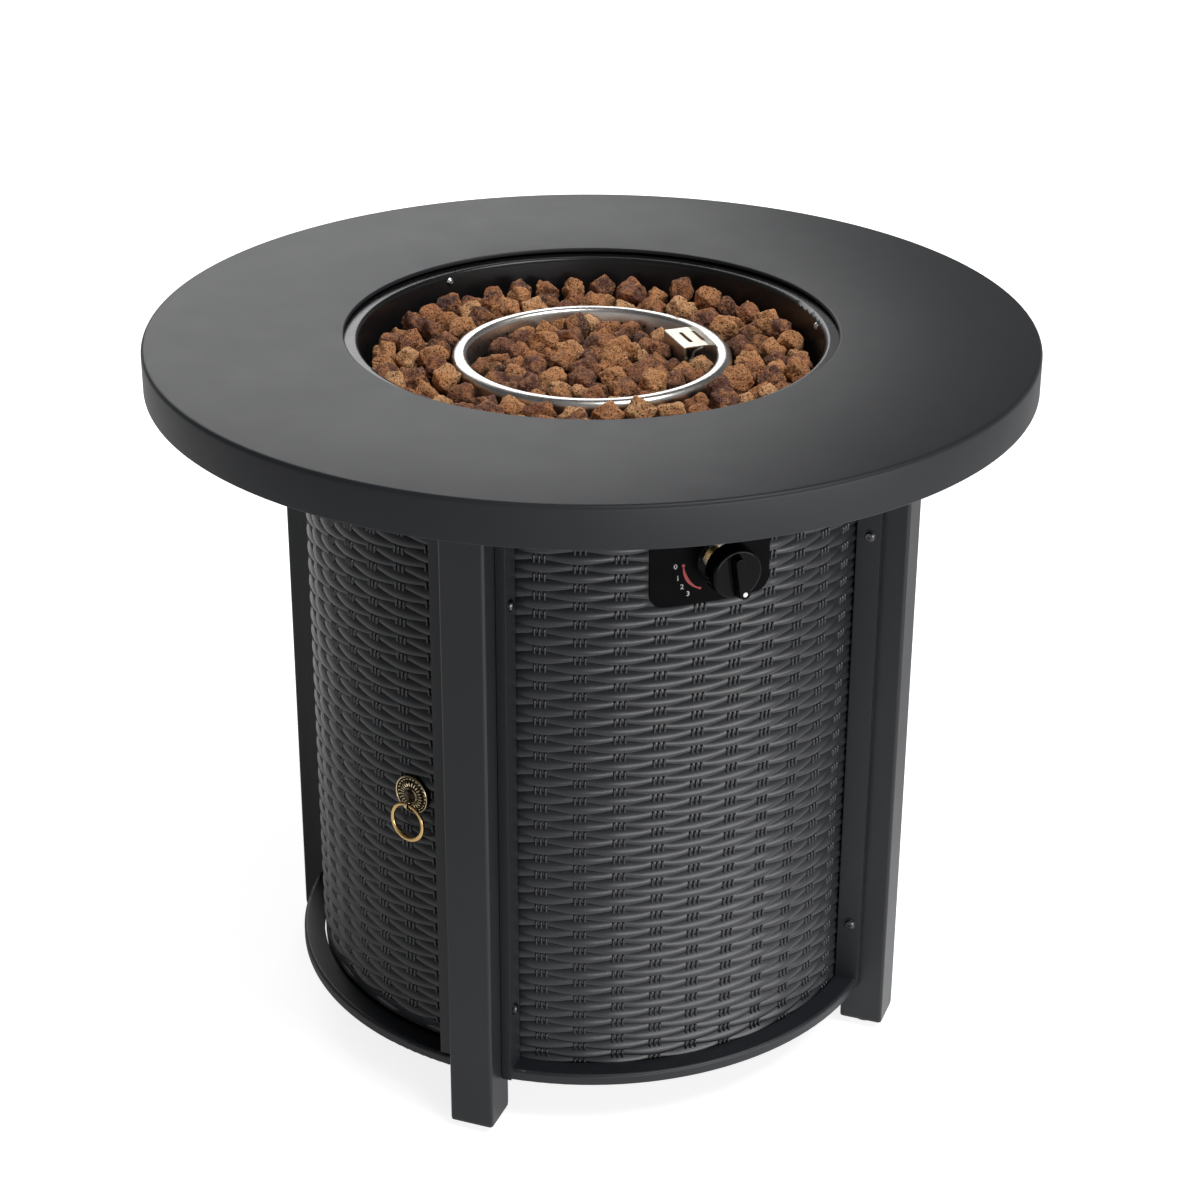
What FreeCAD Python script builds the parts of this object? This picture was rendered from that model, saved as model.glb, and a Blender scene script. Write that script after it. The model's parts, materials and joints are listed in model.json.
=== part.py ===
import FreeCAD, Part
import itertools
import math
import os
import random
from FreeCAD import Vector

# Gas fire pit table, millimetres, +Z up, origin on the floor under the centre.
# Azimuth 0 faces -Y, where the control panel is, and grows counter-clockwise seen from above.
# A piece that belongs beside a leg or on the rim is drawn at azimuth 0 and then turned into place.

# Driving dimensions
TABLE_R = 381.0
TABLE_H = 637.0
APRON = 36.0
RIM_ROUND = 4.0
SHEET = 1.5
THIN = 1.2
HOLE_R = 211.0
LIP = 3.0

LEG = 39.0
LEG_AT = 271.5
LEG_ROUND = 3.0
LEG_WALL = 1.5
GLIDE_H = 7.5
PLUG_PLATE = 2.0
LEG_BOTTOM = GLIDE_H + PLUG_PLATE
LEG_AZIMUTHS = (-45.0, 45.0, 135.0, 225.0)

PANEL_R = 250.0
PANEL_IN = PANEL_R - THIN
RAIL_R = 269.0
RAIL_LOW = 45.0
RAIL_H = 10.0
HEAD_LOW = 600.0
HEAD_HIGH = 612.0
BAR_NEAR = 20.0
BAR_FAR = 28.5
SCREW_HEIGHTS = (113.0, 495.0)
SCREW_AT = 259.5

TOP_UNDER = TABLE_H - SHEET
RING_IN, RING_OUT, RING_LOW = 258.0, 288.0, 620.0
LEG_TOP = RING_LOW - SHEET

FLANGE_TOP = 631.5
BOWL_TOP_R = 199.5
BOWL_FOOT_R = 190.5
FLOOR_TOP = 573.2
FLOOR_UNDER = FLOOR_TOP - THIN

BOWL_SCREW_AZIMUTHS = (76.0, 196.0, 316.0)
BOWL_SCREW_Z = 625.0
STANDOFF_AZIMUTHS = (60.0, 180.0, 300.0)
STANDOFF_AT = 125.0

BURNER_CREST = 615.0
BURNER_OUT = 120.3
BURNER_IN = 108.0
BURNER_FOOT_IN = 97.0
PORTS = 60
PORT_R = 1.2
FEED_R = 8.0
FEED_Z = 587.0

ROCK_START = 600.0
ROCK_GAP = 0.15
GOLDEN_ANGLE = math.radians(137.508)

HOOD_AZ = 86.0
HOOD_IN, HOOD_OUT, HOOD_HALF = 75.8, 106.0, 23.5

TRAIN_Z = 545.0
KNOB_X, KNOB_Z = -2.0, 525.0
KNOB_BACK, KNOB_FACE, KNOB_TIP = -268.0, -283.5, -291.8
KNOB_R = 22.0
KNOB_TURN = 10.0
PLATE_OPENING_R = 19.0
STEM_R = 4.0
RUN_FIT = 0.05

DOOR_AZ = -90.0
DOOR_LOW, DOOR_HIGH = 58.5, 597.0
DOOR_TAB_HEIGHTS = (68.0, 589.0)
STILE_IN = 238.0
STILE_NEAR, STILE_FAR = 27.0, 37.0
HINGE_U, HINGE_W = 272.5, 23.5
HINGE_HEIGHTS = (140.0, 520.0)
HINGE_TALL = 50.0
KNUCKLE_R = 3.0
PIN_R = 1.5

PULL_AZ = -61.2
PULL_Z = 293.0
PULL_PIVOT_R = 257.5
PULL_PIVOT_Z = 285.9
PULL_RING_R = 16.9
PULL_WIRE_R = 1.6

BASE_LOW = 47.0
TANK_RING_R = 107.0
TANK_RING_H = 25.0

Z_AXIS = Vector(0, 0, 1)
ORIGIN = Vector(0, 0, 0)


# Shared shapes

def turned(shape, azimuth):
    """The shape turned about the table's axis."""
    copy = shape.copy()
    copy.rotate(ORIGIN, Z_AXIS, azimuth)
    return copy


def flipped(shape):
    """The shape on the other side of a leg."""
    return shape.mirror(ORIGIN, Vector(1, 0, 0))


def box(x, y, z):
    """A block from three pairs of limits."""
    return Part.makeBox(x[1] - x[0], y[1] - y[0], z[1] - z[0], Vector(x[0], y[0], z[0]))


def leg_box(u, w, z, side=1):
    """A block beside a leg: u outward from the table's axis, w sideways, on the side given."""
    low, high = sorted((side * w[0], side * w[1]))
    return box((low, high), (-u[1], -u[0]), z)


def post(radius, start, end):
    """A round bar from start to end."""
    along = end.sub(start)
    return Part.makeCylinder(radius, along.Length, start, along)


def fused(shapes):
    shapes = list(shapes)
    return shapes[0].multiFuse(shapes[1:]).removeSplitter() if len(shapes) > 1 else shapes[0]


def cut(shape, tools):
    return shape.cut(list(tools))


def outline(points, to_space):
    """A closed wire through (a, b) or (a, b, corner radius) points, with tangent arcs at the corners."""
    flat = [Vector(p[0], p[1], 0) for p in points]
    rounds = [p[2] if len(p) > 2 else 0.0 for p in points]
    stops = []
    for i, corner in enumerate(flat):
        if not rounds[i]:
            stops.append((corner, None, corner))
            continue
        back = flat[i - 1].sub(corner).normalize()
        ahead = flat[(i + 1) % len(flat)].sub(corner).normalize()
        half = back.getAngle(ahead) / 2
        reach = rounds[i] / math.tan(half)
        inward = back.add(ahead).normalize()
        middle = corner.add(inward * (rounds[i] / math.sin(half) - rounds[i]))
        stops.append((corner.add(back * reach), middle, corner.add(ahead * reach)))
    edges = []
    for i, (start, middle, end) in enumerate(stops):
        if middle is not None:
            edges.append(Part.Arc(to_space(start), to_space(middle), to_space(end)).toShape())
        following = stops[(i + 1) % len(stops)][0]
        if end.distanceToPoint(following) > 1e-6:
            edges.append(Part.makeLine(to_space(end), to_space(following)))
    return Part.Wire(edges)


def revolved(points, angle=360.0, start=0.0):
    """A profile of (radius, height) points turned about the table's axis, from azimuth start."""
    wire = outline(points, lambda p: Vector(0, -p.x, p.y))
    solid = Part.Face(wire).revolve(ORIGIN, Z_AXIS, angle)
    return turned(solid, start)


def ring(inner, outer, low, high, angle=360.0, start=0.0):
    return revolved([(inner, low), (outer, low), (outer, high), (inner, high)], angle, start)


def plate(points, low, high):
    """A flat outline in plan, pulled up from low to high."""
    wire = outline(points, lambda p: Vector(p.x, p.y, low))
    return Part.Face(wire).extrude(Vector(0, 0, high - low))


def square_bar(side, corner, low, high, centre_y):
    """A round-cornered square bar standing at azimuth 0."""
    half = side / 2
    corners = ((-half, -half), (half, -half), (half, half), (-half, half))
    return plate([(x, y + centre_y, corner) for x, y in corners], low, high)


def on_axis(points, origin, axis):
    """A profile of (radius, distance) points turned about an axis through origin."""
    wire = outline(points, lambda p: Vector(p.x, 0, p.y))
    solid = Part.Face(wire).revolve(ORIGIN, Z_AXIS, 360)
    solid.Placement = FreeCAD.Placement(origin, FreeCAD.Rotation(Z_AXIS, axis))
    return solid


def hexagon(across, start, end, bore=0.0):
    """A hexagonal nut or fitting body from start to end."""
    along = end.sub(start)
    corner = across / math.sqrt(3)
    points = [(corner * math.cos(math.radians(60 * k)), corner * math.sin(math.radians(60 * k)))
              for k in range(6)]
    solid = plate(points, 0, along.Length)
    if bore:
        solid = solid.cut(Part.makeCylinder(bore, along.Length))
    solid.Placement = FreeCAD.Placement(start, FreeCAD.Rotation(Z_AXIS, along))
    return solid


def bent_bar(points, radius):
    """A round wire or tube on straight runs joined by tangent arcs, and its bend radii."""
    edges, radii = [], []
    start = points[0]
    for before, corner, after in zip(points, points[1:], points[2:]):
        back, ahead = before.sub(corner), after.sub(corner)
        half = back.getAngle(ahead) / 2
        reach = 0.45 * min(back.Length, ahead.Length)
        bend = reach * math.tan(half)
        back.normalize()
        ahead.normalize()
        inward = back.add(ahead).normalize()
        middle = corner.add(inward * (bend / math.sin(half) - bend))
        enter, leave = corner.add(back * reach), corner.add(ahead * reach)
        edges.append(Part.LineSegment(start, enter).toShape())
        edges.append(Part.Arc(enter, middle, leave).toShape())
        radii.append(round(bend, 1))
        start = leave
    edges.append(Part.LineSegment(start, points[-1]).toShape())
    path = Part.Wire(edges)
    section = Part.Wire(Part.Circle(points[0], points[1].sub(points[0]), radius).toShape())
    solid = path.makePipeShell([section], True, False)
    expected = math.pi * radius ** 2 * path.Length
    print("bends", radii, "length", round(path.Length, 1), "volume ratio", round(solid.Volume / expected, 4))
    return solid


def button_screw(head_at, direction, length, thread=2.5, head=5.3, washer=True):
    """A button-head screw whose washer sits at head_at; the shank runs along direction."""
    rise = 0.9 if washer else 0.0
    points = [(0, length), (thread, length), (thread, 0), (head, 0)]
    if washer:
        points += [(head, -rise), (head - 0.8, -rise)]
    points += [(head - 0.8, -rise - 1.0), (head - 2.2, -rise - 2.2), (0, -rise - 2.2)]
    screw = on_axis(points, head_at, direction)
    socket = hexagon(3.0, head_at.sub(direction * (rise + 2.2)), head_at.sub(direction * (rise + 1.0)))
    return screw.cut(socket)


# Tabletop and what carries it

def tabletop():
    low = TABLE_H - APRON
    inner = TABLE_R - SHEET
    pan = revolved([
        (HOLE_R, TABLE_H, 1.6), (TABLE_R, TABLE_H, RIM_ROUND), (TABLE_R, low, 1.6),
        (TABLE_R - 9, low), (TABLE_R - 9, low + SHEET), (inner, low + SHEET),
        (inner, TOP_UNDER, RIM_ROUND - SHEET), (HOLE_R + SHEET, TOP_UNDER),
        (HOLE_R + SHEET, TABLE_H - LIP), (HOLE_R, TABLE_H - LIP)])
    return [pan]


def top_ring():
    return [revolved([
        (RING_IN, RING_LOW), (RING_IN + SHEET, RING_LOW), (RING_IN + SHEET, TOP_UNDER - SHEET),
        (RING_OUT - SHEET, TOP_UNDER - SHEET), (RING_OUT - SHEET, RING_LOW), (RING_OUT, RING_LOW),
        (RING_OUT, TOP_UNDER), (RING_IN, TOP_UNDER)])]


def table_ribs():
    """Hat-section stiffeners that run out to the apron."""
    profile = [(-21, 0), (-12, 0), (-9, -8.5), (9, -8.5), (12, 0), (21, 0),
               (21, -1.2), (12.8, -1.2), (10, -9.7), (-10, -9.7), (-12.8, -1.2), (-21, -1.2)]
    wire = outline(profile, lambda p: Vector(p.x, -RING_OUT, TOP_UNDER + p.y))
    rib = Part.Face(wire).extrude(Vector(0, RING_OUT - (TABLE_R - 11), 0))
    return [turned(rib, 22.5 + 45 * k) for k in range(8)]


def bowl_hanger_ring():
    ledge = FLANGE_TOP - THIN
    return [revolved([
        (214, ledge - SHEET), (239.5, ledge - SHEET), (239.5, TOP_UNDER - SHEET),
        (250, TOP_UNDER - SHEET), (250, TOP_UNDER), (238, TOP_UNDER), (238, ledge), (214, ledge)])]


def leg_brackets():
    """Angles welded under the top ring, one behind the head of each leg."""
    head = leg_box((250.5, RING_OUT), (-18, 18), (LEG_TOP, RING_LOW))
    drop = leg_box((250.5, 252), (-18, 18), (588, LEG_TOP))
    angle = fused([head, drop])
    holes = [post(2.5, Vector(x, -249, 603), Vector(x, -253, 603)) for x in (-10, 10)]
    return [turned(cut(angle, holes), az) for az in LEG_AZIMUTHS]


def leg_bracket_screws():
    out = Vector(0, -1, 0)
    return [turned(button_screw(Vector(x, -250.5, 603), out, 4.5, head=4.6), az)
            for az in LEG_AZIMUTHS for x in (-10, 10)]


# Legs

def leg(azimuth):
    tube = square_bar(LEG, LEG_ROUND, LEG_BOTTOM, LEG_TOP, -LEG_AT)
    inside = square_bar(LEG - 2 * LEG_WALL, LEG_ROUND - LEG_WALL, LEG_BOTTOM, LEG_TOP, -LEG_AT)
    inner_wall = LEG_AT - LEG / 2
    holes = [post(2.5, Vector(x, -inner_wall + 1, 603), Vector(x, -inner_wall - 2, 603)) for x in (-10, 10)]
    holes += [post(2.0, Vector(x, -inner_wall + 1, 33), Vector(x, -inner_wall - 2, 33)) for x in (-9, 9)]
    for side in (-1, 1):
        heights = DOOR_TAB_HEIGHTS if door_side(azimuth, side) else SCREW_HEIGHTS
        for height in heights:
            holes.append(post(2.5, Vector(side * 17, -SCREW_AT, height), Vector(side * 21, -SCREW_AT, height)))
    return [turned(cut(tube.cut(inside), holes), azimuth)]


def door_side(azimuth, side):
    """True where this side of this leg faces the door."""
    facing = (azimuth + side * 45.0 + 360) % 360
    return abs(facing - 270) < 1


def leg_end_plugs():
    cap = square_bar(LEG - 0.4, LEG_ROUND, GLIDE_H, LEG_BOTTOM, -LEG_AT)
    spigot = square_bar(LEG - 2 * LEG_WALL, LEG_ROUND - LEG_WALL, LEG_BOTTOM, LEG_BOTTOM + 16, -LEG_AT)
    hollow = square_bar(LEG - 2 * LEG_WALL - 4, 0.5, LEG_BOTTOM + 3, LEG_BOTTOM + 16, -LEG_AT)
    socket = post(4, Vector(0, -LEG_AT, GLIDE_H), Vector(0, -LEG_AT, LEG_BOTTOM + 3))
    return [turned(cut(fused([cap, spigot]), [hollow, socket]), az) for az in LEG_AZIMUTHS]


def leg_glides():
    """Round push-in feet: the shank fills the plug's socket."""
    foot = on_axis([(0, 0), (10, 0, 1.0), (12.2, 4.5), (12.2, GLIDE_H), (4, GLIDE_H),
                    (4, LEG_BOTTOM + 3), (0, LEG_BOTTOM + 3)], Vector(0, -LEG_AT, 0), Z_AXIS)
    return [turned(foot, az) for az in LEG_AZIMUTHS]


# Woven side panels and their frames

def panel_edge():
    """Half the angle of a fixed panel: its sheet runs behind the bars, up to the legs."""
    return 45.0 - math.degrees(math.asin(BAR_NEAR / PANEL_R)) - 0.1


def panel_sheet(azimuth):
    half = panel_edge()
    return ring(PANEL_IN, PANEL_R, RAIL_LOW + 1, HEAD_HIGH - 1, 2 * half, azimuth - half)


def knob_opening():
    return post(PLATE_OPENING_R, Vector(KNOB_X, -230, KNOB_Z), Vector(KNOB_X, -260, KNOB_Z))


def rail_profile(low, high, soft):
    """Channel section of a curved rail, open towards the sheet, with a soft upper outside edge."""
    inside = max(soft - SHEET, 0.0)
    return [(PANEL_R, low), (RAIL_R, low, 1.0), (RAIL_R, high, soft), (PANEL_R, high), (PANEL_R, high - SHEET),
            (RAIL_R - SHEET, high - SHEET, inside), (RAIL_R - SHEET, low + SHEET), (PANEL_R, low + SHEET)]


def panel_frame(azimuth):
    """Two channel bars beside the legs and two curved channel rails, welded at the corners."""
    low, high = RAIL_LOW, HEAD_HIGH
    core = Part.makeCylinder(PANEL_R, high, ORIGIN)
    bars = []
    for side in (-1, 1):
        whole = leg_box((246, RAIL_R), (BAR_NEAR, BAR_FAR), (low, high), side)
        pocket = leg_box((253.2, RAIL_R - SHEET), (BAR_NEAR - 1, BAR_FAR - SHEET),
                         (low + SHEET, high - SHEET), side)
        holes = [post(2.6, Vector(side * (BAR_FAR + 1), -SCREW_AT, z), Vector(side * (BAR_FAR - 3), -SCREW_AT, z))
                 for z in SCREW_HEIGHTS]
        bars.append(turned(cut(whole, [core, pocket] + holes), -side * 45.0))
    half = 45.0 - math.degrees(math.asin((BAR_FAR - SHEET / 2) / RAIL_R))
    rails = [revolved(rail_profile(z0, z1, soft), 2 * half, -half)
             for z0, z1, soft in ((low, low + RAIL_H, 3.0), (HEAD_LOW, high, 1.0))]
    return turned(fused(bars + rails), azimuth)


def front_panel():
    return [panel_sheet(0).cut(knob_opening())]


def panel_screws():
    """Screws through the bars' wide faces into the legs."""
    screws = []
    for azimuth in LEG_AZIMUTHS:
        for side in (-1, 1):
            if door_side(azimuth, side):
                continue
            for height in SCREW_HEIGHTS:
                head_at = Vector(side * BAR_FAR, -SCREW_AT, height)
                screw = button_screw(head_at, Vector(-side, 0, 0), BAR_FAR - 17, thread=2.5)
                screws.append(turned(screw, azimuth))
    return screws


# Door side: rails, door, hinges, catch and ring pull

def door_rail(low, high, tab_low, tab_high, hole_z):
    """A curved channel rail between the door's legs, with a tab up or down each leg."""
    reach = 45.0 - math.degrees(math.asin((LEG / 2 + 2) / RAIL_R))
    soft = 3.0 if low < HEAD_LOW else 1.0
    rail = revolved(rail_profile(low, high, soft), 2 * reach, -reach)
    tabs = []
    for side in (-1, 1):
        tab = leg_box((252, 268), (LEG / 2, LEG / 2 + 2.2), (tab_low, tab_high), side)
        hole = post(2.5, Vector(side * 18, -SCREW_AT, hole_z), Vector(side * 24, -SCREW_AT, hole_z))
        tabs.append(turned(tab.cut(hole), -side * 45.0))
    return turned(fused([rail] + tabs), DOOR_AZ)


def door_rail_screws():
    screws = []
    for side in (-1, 1):
        for hole_z in DOOR_TAB_HEIGHTS:
            head_at = Vector(side * (LEG / 2 + 2.2), -SCREW_AT, hole_z)
            screw = button_screw(head_at, Vector(-side, 0, 0), 5.2, head=4.4, washer=False)
            screws.append(turned(screw, DOOR_AZ - side * 45.0))
    return screws


def door_panel():
    half = 45.0 - math.degrees(math.asin(STILE_FAR / PANEL_R))
    sheet = ring(PANEL_IN, PANEL_R, DOOR_LOW, DOOR_HIGH, 2 * half + 2, -half - 1)
    for side in (-1, 1):
        stile = leg_box((STILE_IN - 5, RAIL_R + 5), (0, STILE_FAR), (DOOR_LOW - 1, DOOR_HIGH + 1), side)
        sheet = sheet.cut(turned(stile, -side * 45.0))
    return [turned(sheet, DOOR_AZ)]


def door_frame():
    """Tube stiles that stand out past the woven sheet, and two curved bars behind it."""
    stiles = []
    for side in (-1, 1):
        whole = leg_box((STILE_IN, RAIL_R), (STILE_NEAR, STILE_FAR), (DOOR_LOW, DOOR_HIGH), side)
        inside = leg_box((STILE_IN + SHEET, RAIL_R - SHEET), (STILE_NEAR + SHEET, STILE_FAR - SHEET),
                         (DOOR_LOW, DOOR_HIGH), side)
        stiles.append(turned(whole.cut(inside), -side * 45.0))
    half = 45.0 - math.degrees(math.asin((STILE_FAR - 0.7) / 243.0))
    bars = [ring(STILE_IN + 0.6, PANEL_IN, z, z + 12, 2 * half, -half) for z in (DOOR_LOW, DOOR_HIGH - 12)]
    return [turned(fused(stiles + bars), DOOR_AZ)]


def hinge_parts():
    """Two butt hinges at the back-left leg, drawn at azimuth 0 with the door on the +X side."""
    fixed, moving, pins = [], [], []
    axis_at = Vector(HINGE_W, -HINGE_U, 0)
    for height in HINGE_HEIGHTS:
        low, high = height - HINGE_TALL / 2, height + HINGE_TALL / 2
        bore = post(PIN_R + RUN_FIT, axis_at + Vector(0, 0, low - 2), axis_at + Vector(0, 0, high + 2))
        leaf = leg_box((252.5, 272.5), (LEG / 2, LEG / 2 + THIN), (low, high))
        flap = leg_box((252.5, 272.5), (STILE_NEAR - THIN, STILE_NEAR), (low, high))
        fixed_parts, moving_parts = [leaf], [flap]
        for z0, z1, group in ((low, height - 8.5, fixed_parts), (height - 8.2, height + 8.2, moving_parts),
                              (height + 8.5, high, fixed_parts)):
            group.append(post(KNUCKLE_R, axis_at + Vector(0, 0, z0), axis_at + Vector(0, 0, z1)))
        middle = post(KNUCKLE_R + 0.4, axis_at + Vector(0, 0, height - 8.5), axis_at + Vector(0, 0, height + 8.5))
        ends = [post(KNUCKLE_R + 0.4, axis_at + Vector(0, 0, z0), axis_at + Vector(0, 0, z1))
                for z0, z1 in ((low - 1, height - 8.2), (height + 8.2, high + 1))]
        leaf_notched = leaf.cut(middle)
        flap_notched = flap.cut(ends[0]).cut(ends[1])
        fixed.append(fused([leaf_notched] + fixed_parts[1:]).cut(bore))
        moving.append(fused([flap_notched] + moving_parts[1:]).cut(bore))
        pin = on_axis([(0, -2), (2.4, -2), (2.4, 0), (PIN_R, 0), (PIN_R, HINGE_TALL), (2.4, HINGE_TALL),
                       (2.4, HINGE_TALL + 2), (0, HINGE_TALL + 2)], axis_at + Vector(0, 0, low), Z_AXIS)
        pins.append(pin)
    return fixed, moving, pins


def catch_parts():
    """A magnet on a bent strip behind the free stile, and the steel strike on the stile."""
    low, high = 315.0, 340.0
    strip = fused([
        leg_box((250.5, 252), (-12, 15.5), (low, high)),
        leg_box((226, 252), (14, 15.5), (low, high)),
        leg_box((226, 227.5), (14, 37), (low, high))])
    magnet = leg_box((227.5, STILE_IN - THIN - 0.4), (25, 37), (low, high))
    strike = leg_box((STILE_IN - THIN, STILE_IN), (STILE_NEAR + 0.5, STILE_FAR - 0.5), (low - 4, high + 4))
    return strip, magnet, strike


def pull_frame():
    """Axes at the ring pull: outward, sideways and the seat on the sheet."""
    a = math.radians(PULL_AZ)
    outward = Vector(math.sin(a), -math.cos(a), 0)
    sideways = Vector(math.cos(a), math.sin(a), 0)
    return outward, sideways


def pull_rosette():
    outward, sideways = pull_frame()
    seat = outward * (PANEL_R - 2.0) + Vector(0, 0, PULL_Z)
    body = on_axis([(0, 0), (17.5, 0), (17.5, 4.2, 0.8), (15.6, 4.8, 0.8), (14.2, 3.4, 0.6),
                    (7.5, 4.4, 1.0), (6.6, 6.6, 1.5), (0, 7.6)], seat, outward)
    flutes = []
    for k in range(20):
        turn = math.radians(18 * k)
        across = sideways * math.cos(turn) + Vector(0, 0, math.sin(turn))
        start = seat + outward * 5.0 + across * 8.0
        flutes.append(post(0.9, start, start + across * 5.4 - outward * 0.8))
    body = body.cut(flutes)
    sheet = Part.makeCylinder(PANEL_R, TABLE_H, ORIGIN)
    body = body.cut(sheet)
    pivot = outward * PULL_PIVOT_R + Vector(0, 0, PULL_PIVOT_Z)
    stalk = post(3.6, outward * 252.0 + Vector(0, 0, PULL_PIVOT_Z), pivot)
    eye = post(3.9, pivot - sideways * 1.8, pivot + sideways * 1.8)
    slab = box((-1.8, 1.8), (-12, 12), (-12, 12))
    slab.Placement = FreeCAD.Placement(pivot, FreeCAD.Rotation(Vector(1, 0, 0), sideways))
    stalk = stalk.common(slab)
    bore = post(2.0, pivot - sideways * 4, pivot + sideways * 4)
    return [fused([body, stalk, eye]).cut(bore)]


def pull_ring():
    outward, sideways = pull_frame()
    centre = outward * PULL_PIVOT_R + Vector(0, 0, PULL_PIVOT_Z - PULL_RING_R)
    return [Part.makeTorus(PULL_RING_R, PULL_WIRE_R, centre, outward)]


# Fire bowl, burner, hood and rock

def bowl_wall_radius(z):
    """Inner radius of the bowl's tapered wall."""
    share = (z - FLOOR_TOP) / (FLANGE_TOP - FLOOR_TOP)
    return BOWL_FOOT_R + share * (BOWL_TOP_R - BOWL_FOOT_R)


def fire_bowl():
    bowl = revolved([
        (0, FLOOR_UNDER), (BOWL_FOOT_R + THIN - 0.2, FLOOR_UNDER, 7.2), (BOWL_TOP_R + THIN, FLANGE_TOP - THIN, 2.8),
        (236, FLANGE_TOP - THIN), (236, FLANGE_TOP), (BOWL_TOP_R, FLANGE_TOP, 4.0),
        (BOWL_FOOT_R, FLOOR_TOP, 6.0), (0, FLOOR_TOP)])
    holes = [Part.makeCylinder(FEED_R, 10, Vector(0, 0, FLOOR_UNDER - 2))]
    for k in range(8):
        holes.append(turned(Part.makeCylinder(5, 10, Vector(0, -152, FLOOR_UNDER - 2)), 22.5 + 45 * k))
    for x, radius in ((-9, 3.5), (9, 3.0)):
        holes.append(turned(Part.makeCylinder(radius, 10, Vector(x, -90, FLOOR_UNDER - 2)), HOOD_AZ))
    for x in (-16, 16):
        holes.append(turned(Part.makeCylinder(1.6, 10, Vector(x, -68, FLOOR_UNDER - 2)), HOOD_AZ))
    for az in STANDOFF_AZIMUTHS:
        holes.append(turned(Part.makeCylinder(2.5, 10, Vector(0, -STANDOFF_AT, FLOOR_UNDER - 2)), az))
    for az in BOWL_SCREW_AZIMUTHS:
        wall = bowl_wall_radius(BOWL_SCREW_Z)
        holes.append(turned(post(2.0, Vector(0, 4 - wall, BOWL_SCREW_Z), Vector(0, -wall - 8, BOWL_SCREW_Z)), az))
    return [cut(bowl, holes)]


def bowl_brackets():
    """Small angles under the hanger ring that the bowl's wall is screwed to."""
    under = FLANGE_TOP - THIN - SHEET
    angle = fused([box((-9, 9), (-236, -203.4), (under - SHEET, under)),
                   box((-9, 9), (-204.9, -203.4), (under - 16, under))])
    hole = post(2.0, Vector(0, -202, BOWL_SCREW_Z), Vector(0, -206, BOWL_SCREW_Z))
    return [turned(angle.cut(hole), az) for az in BOWL_SCREW_AZIMUTHS]


def bowl_screws():
    wall = bowl_wall_radius(BOWL_SCREW_Z)
    screw = button_screw(Vector(0, -wall + 0.65, BOWL_SCREW_Z), Vector(0, -1, 0), 6.5, thread=2.0, head=3.6,
                         washer=False)
    return [turned(screw, az) for az in BOWL_SCREW_AZIMUTHS]


def burner_ring():
    """Hollow ring with a rounded crest, whose inner wall leans in like a dish and carries the ports."""
    shell = 1.0
    outer = revolved([
        (BURNER_FOOT_IN, FLOOR_TOP), (BURNER_OUT, FLOOR_TOP, 2.0), (BURNER_OUT, BURNER_CREST, 5.9),
        (BURNER_IN, BURNER_CREST, 4.6)])
    inner = revolved([
        (BURNER_FOOT_IN + 1.35, FLOOR_TOP + shell), (BURNER_OUT - shell, FLOOR_TOP + shell, 1.0),
        (BURNER_OUT - shell, BURNER_CREST - shell, 4.9), (BURNER_IN + 0.8, BURNER_CREST - shell, 3.6)])
    slope = Vector(0, -(BURNER_IN - BURNER_FOOT_IN), BURNER_CREST - FLOOR_TOP).normalize()
    normal = Vector(0, slope.z, -slope.y)
    port_at = Vector(0, -BURNER_IN, BURNER_CREST).sub(slope * 12.0)
    drill = post(PORT_R, port_at.add(normal * 2.5), port_at.sub(normal * 2.5))
    tools = [turned(drill, 360.0 / PORTS * (k + 0.5)) for k in range(PORTS)]
    tools.append(post(FEED_R, Vector(0, -106, FEED_Z), Vector(0, 106, FEED_Z)))
    return [cut(outer.cut(inner), tools)]


def burner_feed_pipe():
    """Cross pipe into both sides of the ring, with its threaded foot through the bowl's floor."""
    reach = 104.0
    pipe = post(FEED_R, Vector(0, -reach, FEED_Z), Vector(0, reach, FEED_Z))
    foot = post(FEED_R, Vector(0, 0, TRAIN_Z + 12), Vector(0, 0, FEED_Z))
    bore = post(FEED_R - 1.5, Vector(0, -reach, FEED_Z), Vector(0, reach, FEED_Z))
    down = post(FEED_R - 1.5, Vector(0, 0, TRAIN_Z + 12), Vector(0, 0, FEED_Z))
    return [fused([pipe, foot]).cut(fused([bore, down]))]


def feed_nut():
    washer = post(15, Vector(0, 0, FLOOR_UNDER - 1.5), Vector(0, 0, FLOOR_UNDER))
    nut = hexagon(24, Vector(0, 0, FLOOR_UNDER - 8), Vector(0, 0, FLOOR_UNDER - 1.5))
    return [fused([washer, nut]).cut(post(FEED_R, Vector(0, 0, 560), Vector(0, 0, 575)))]


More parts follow.
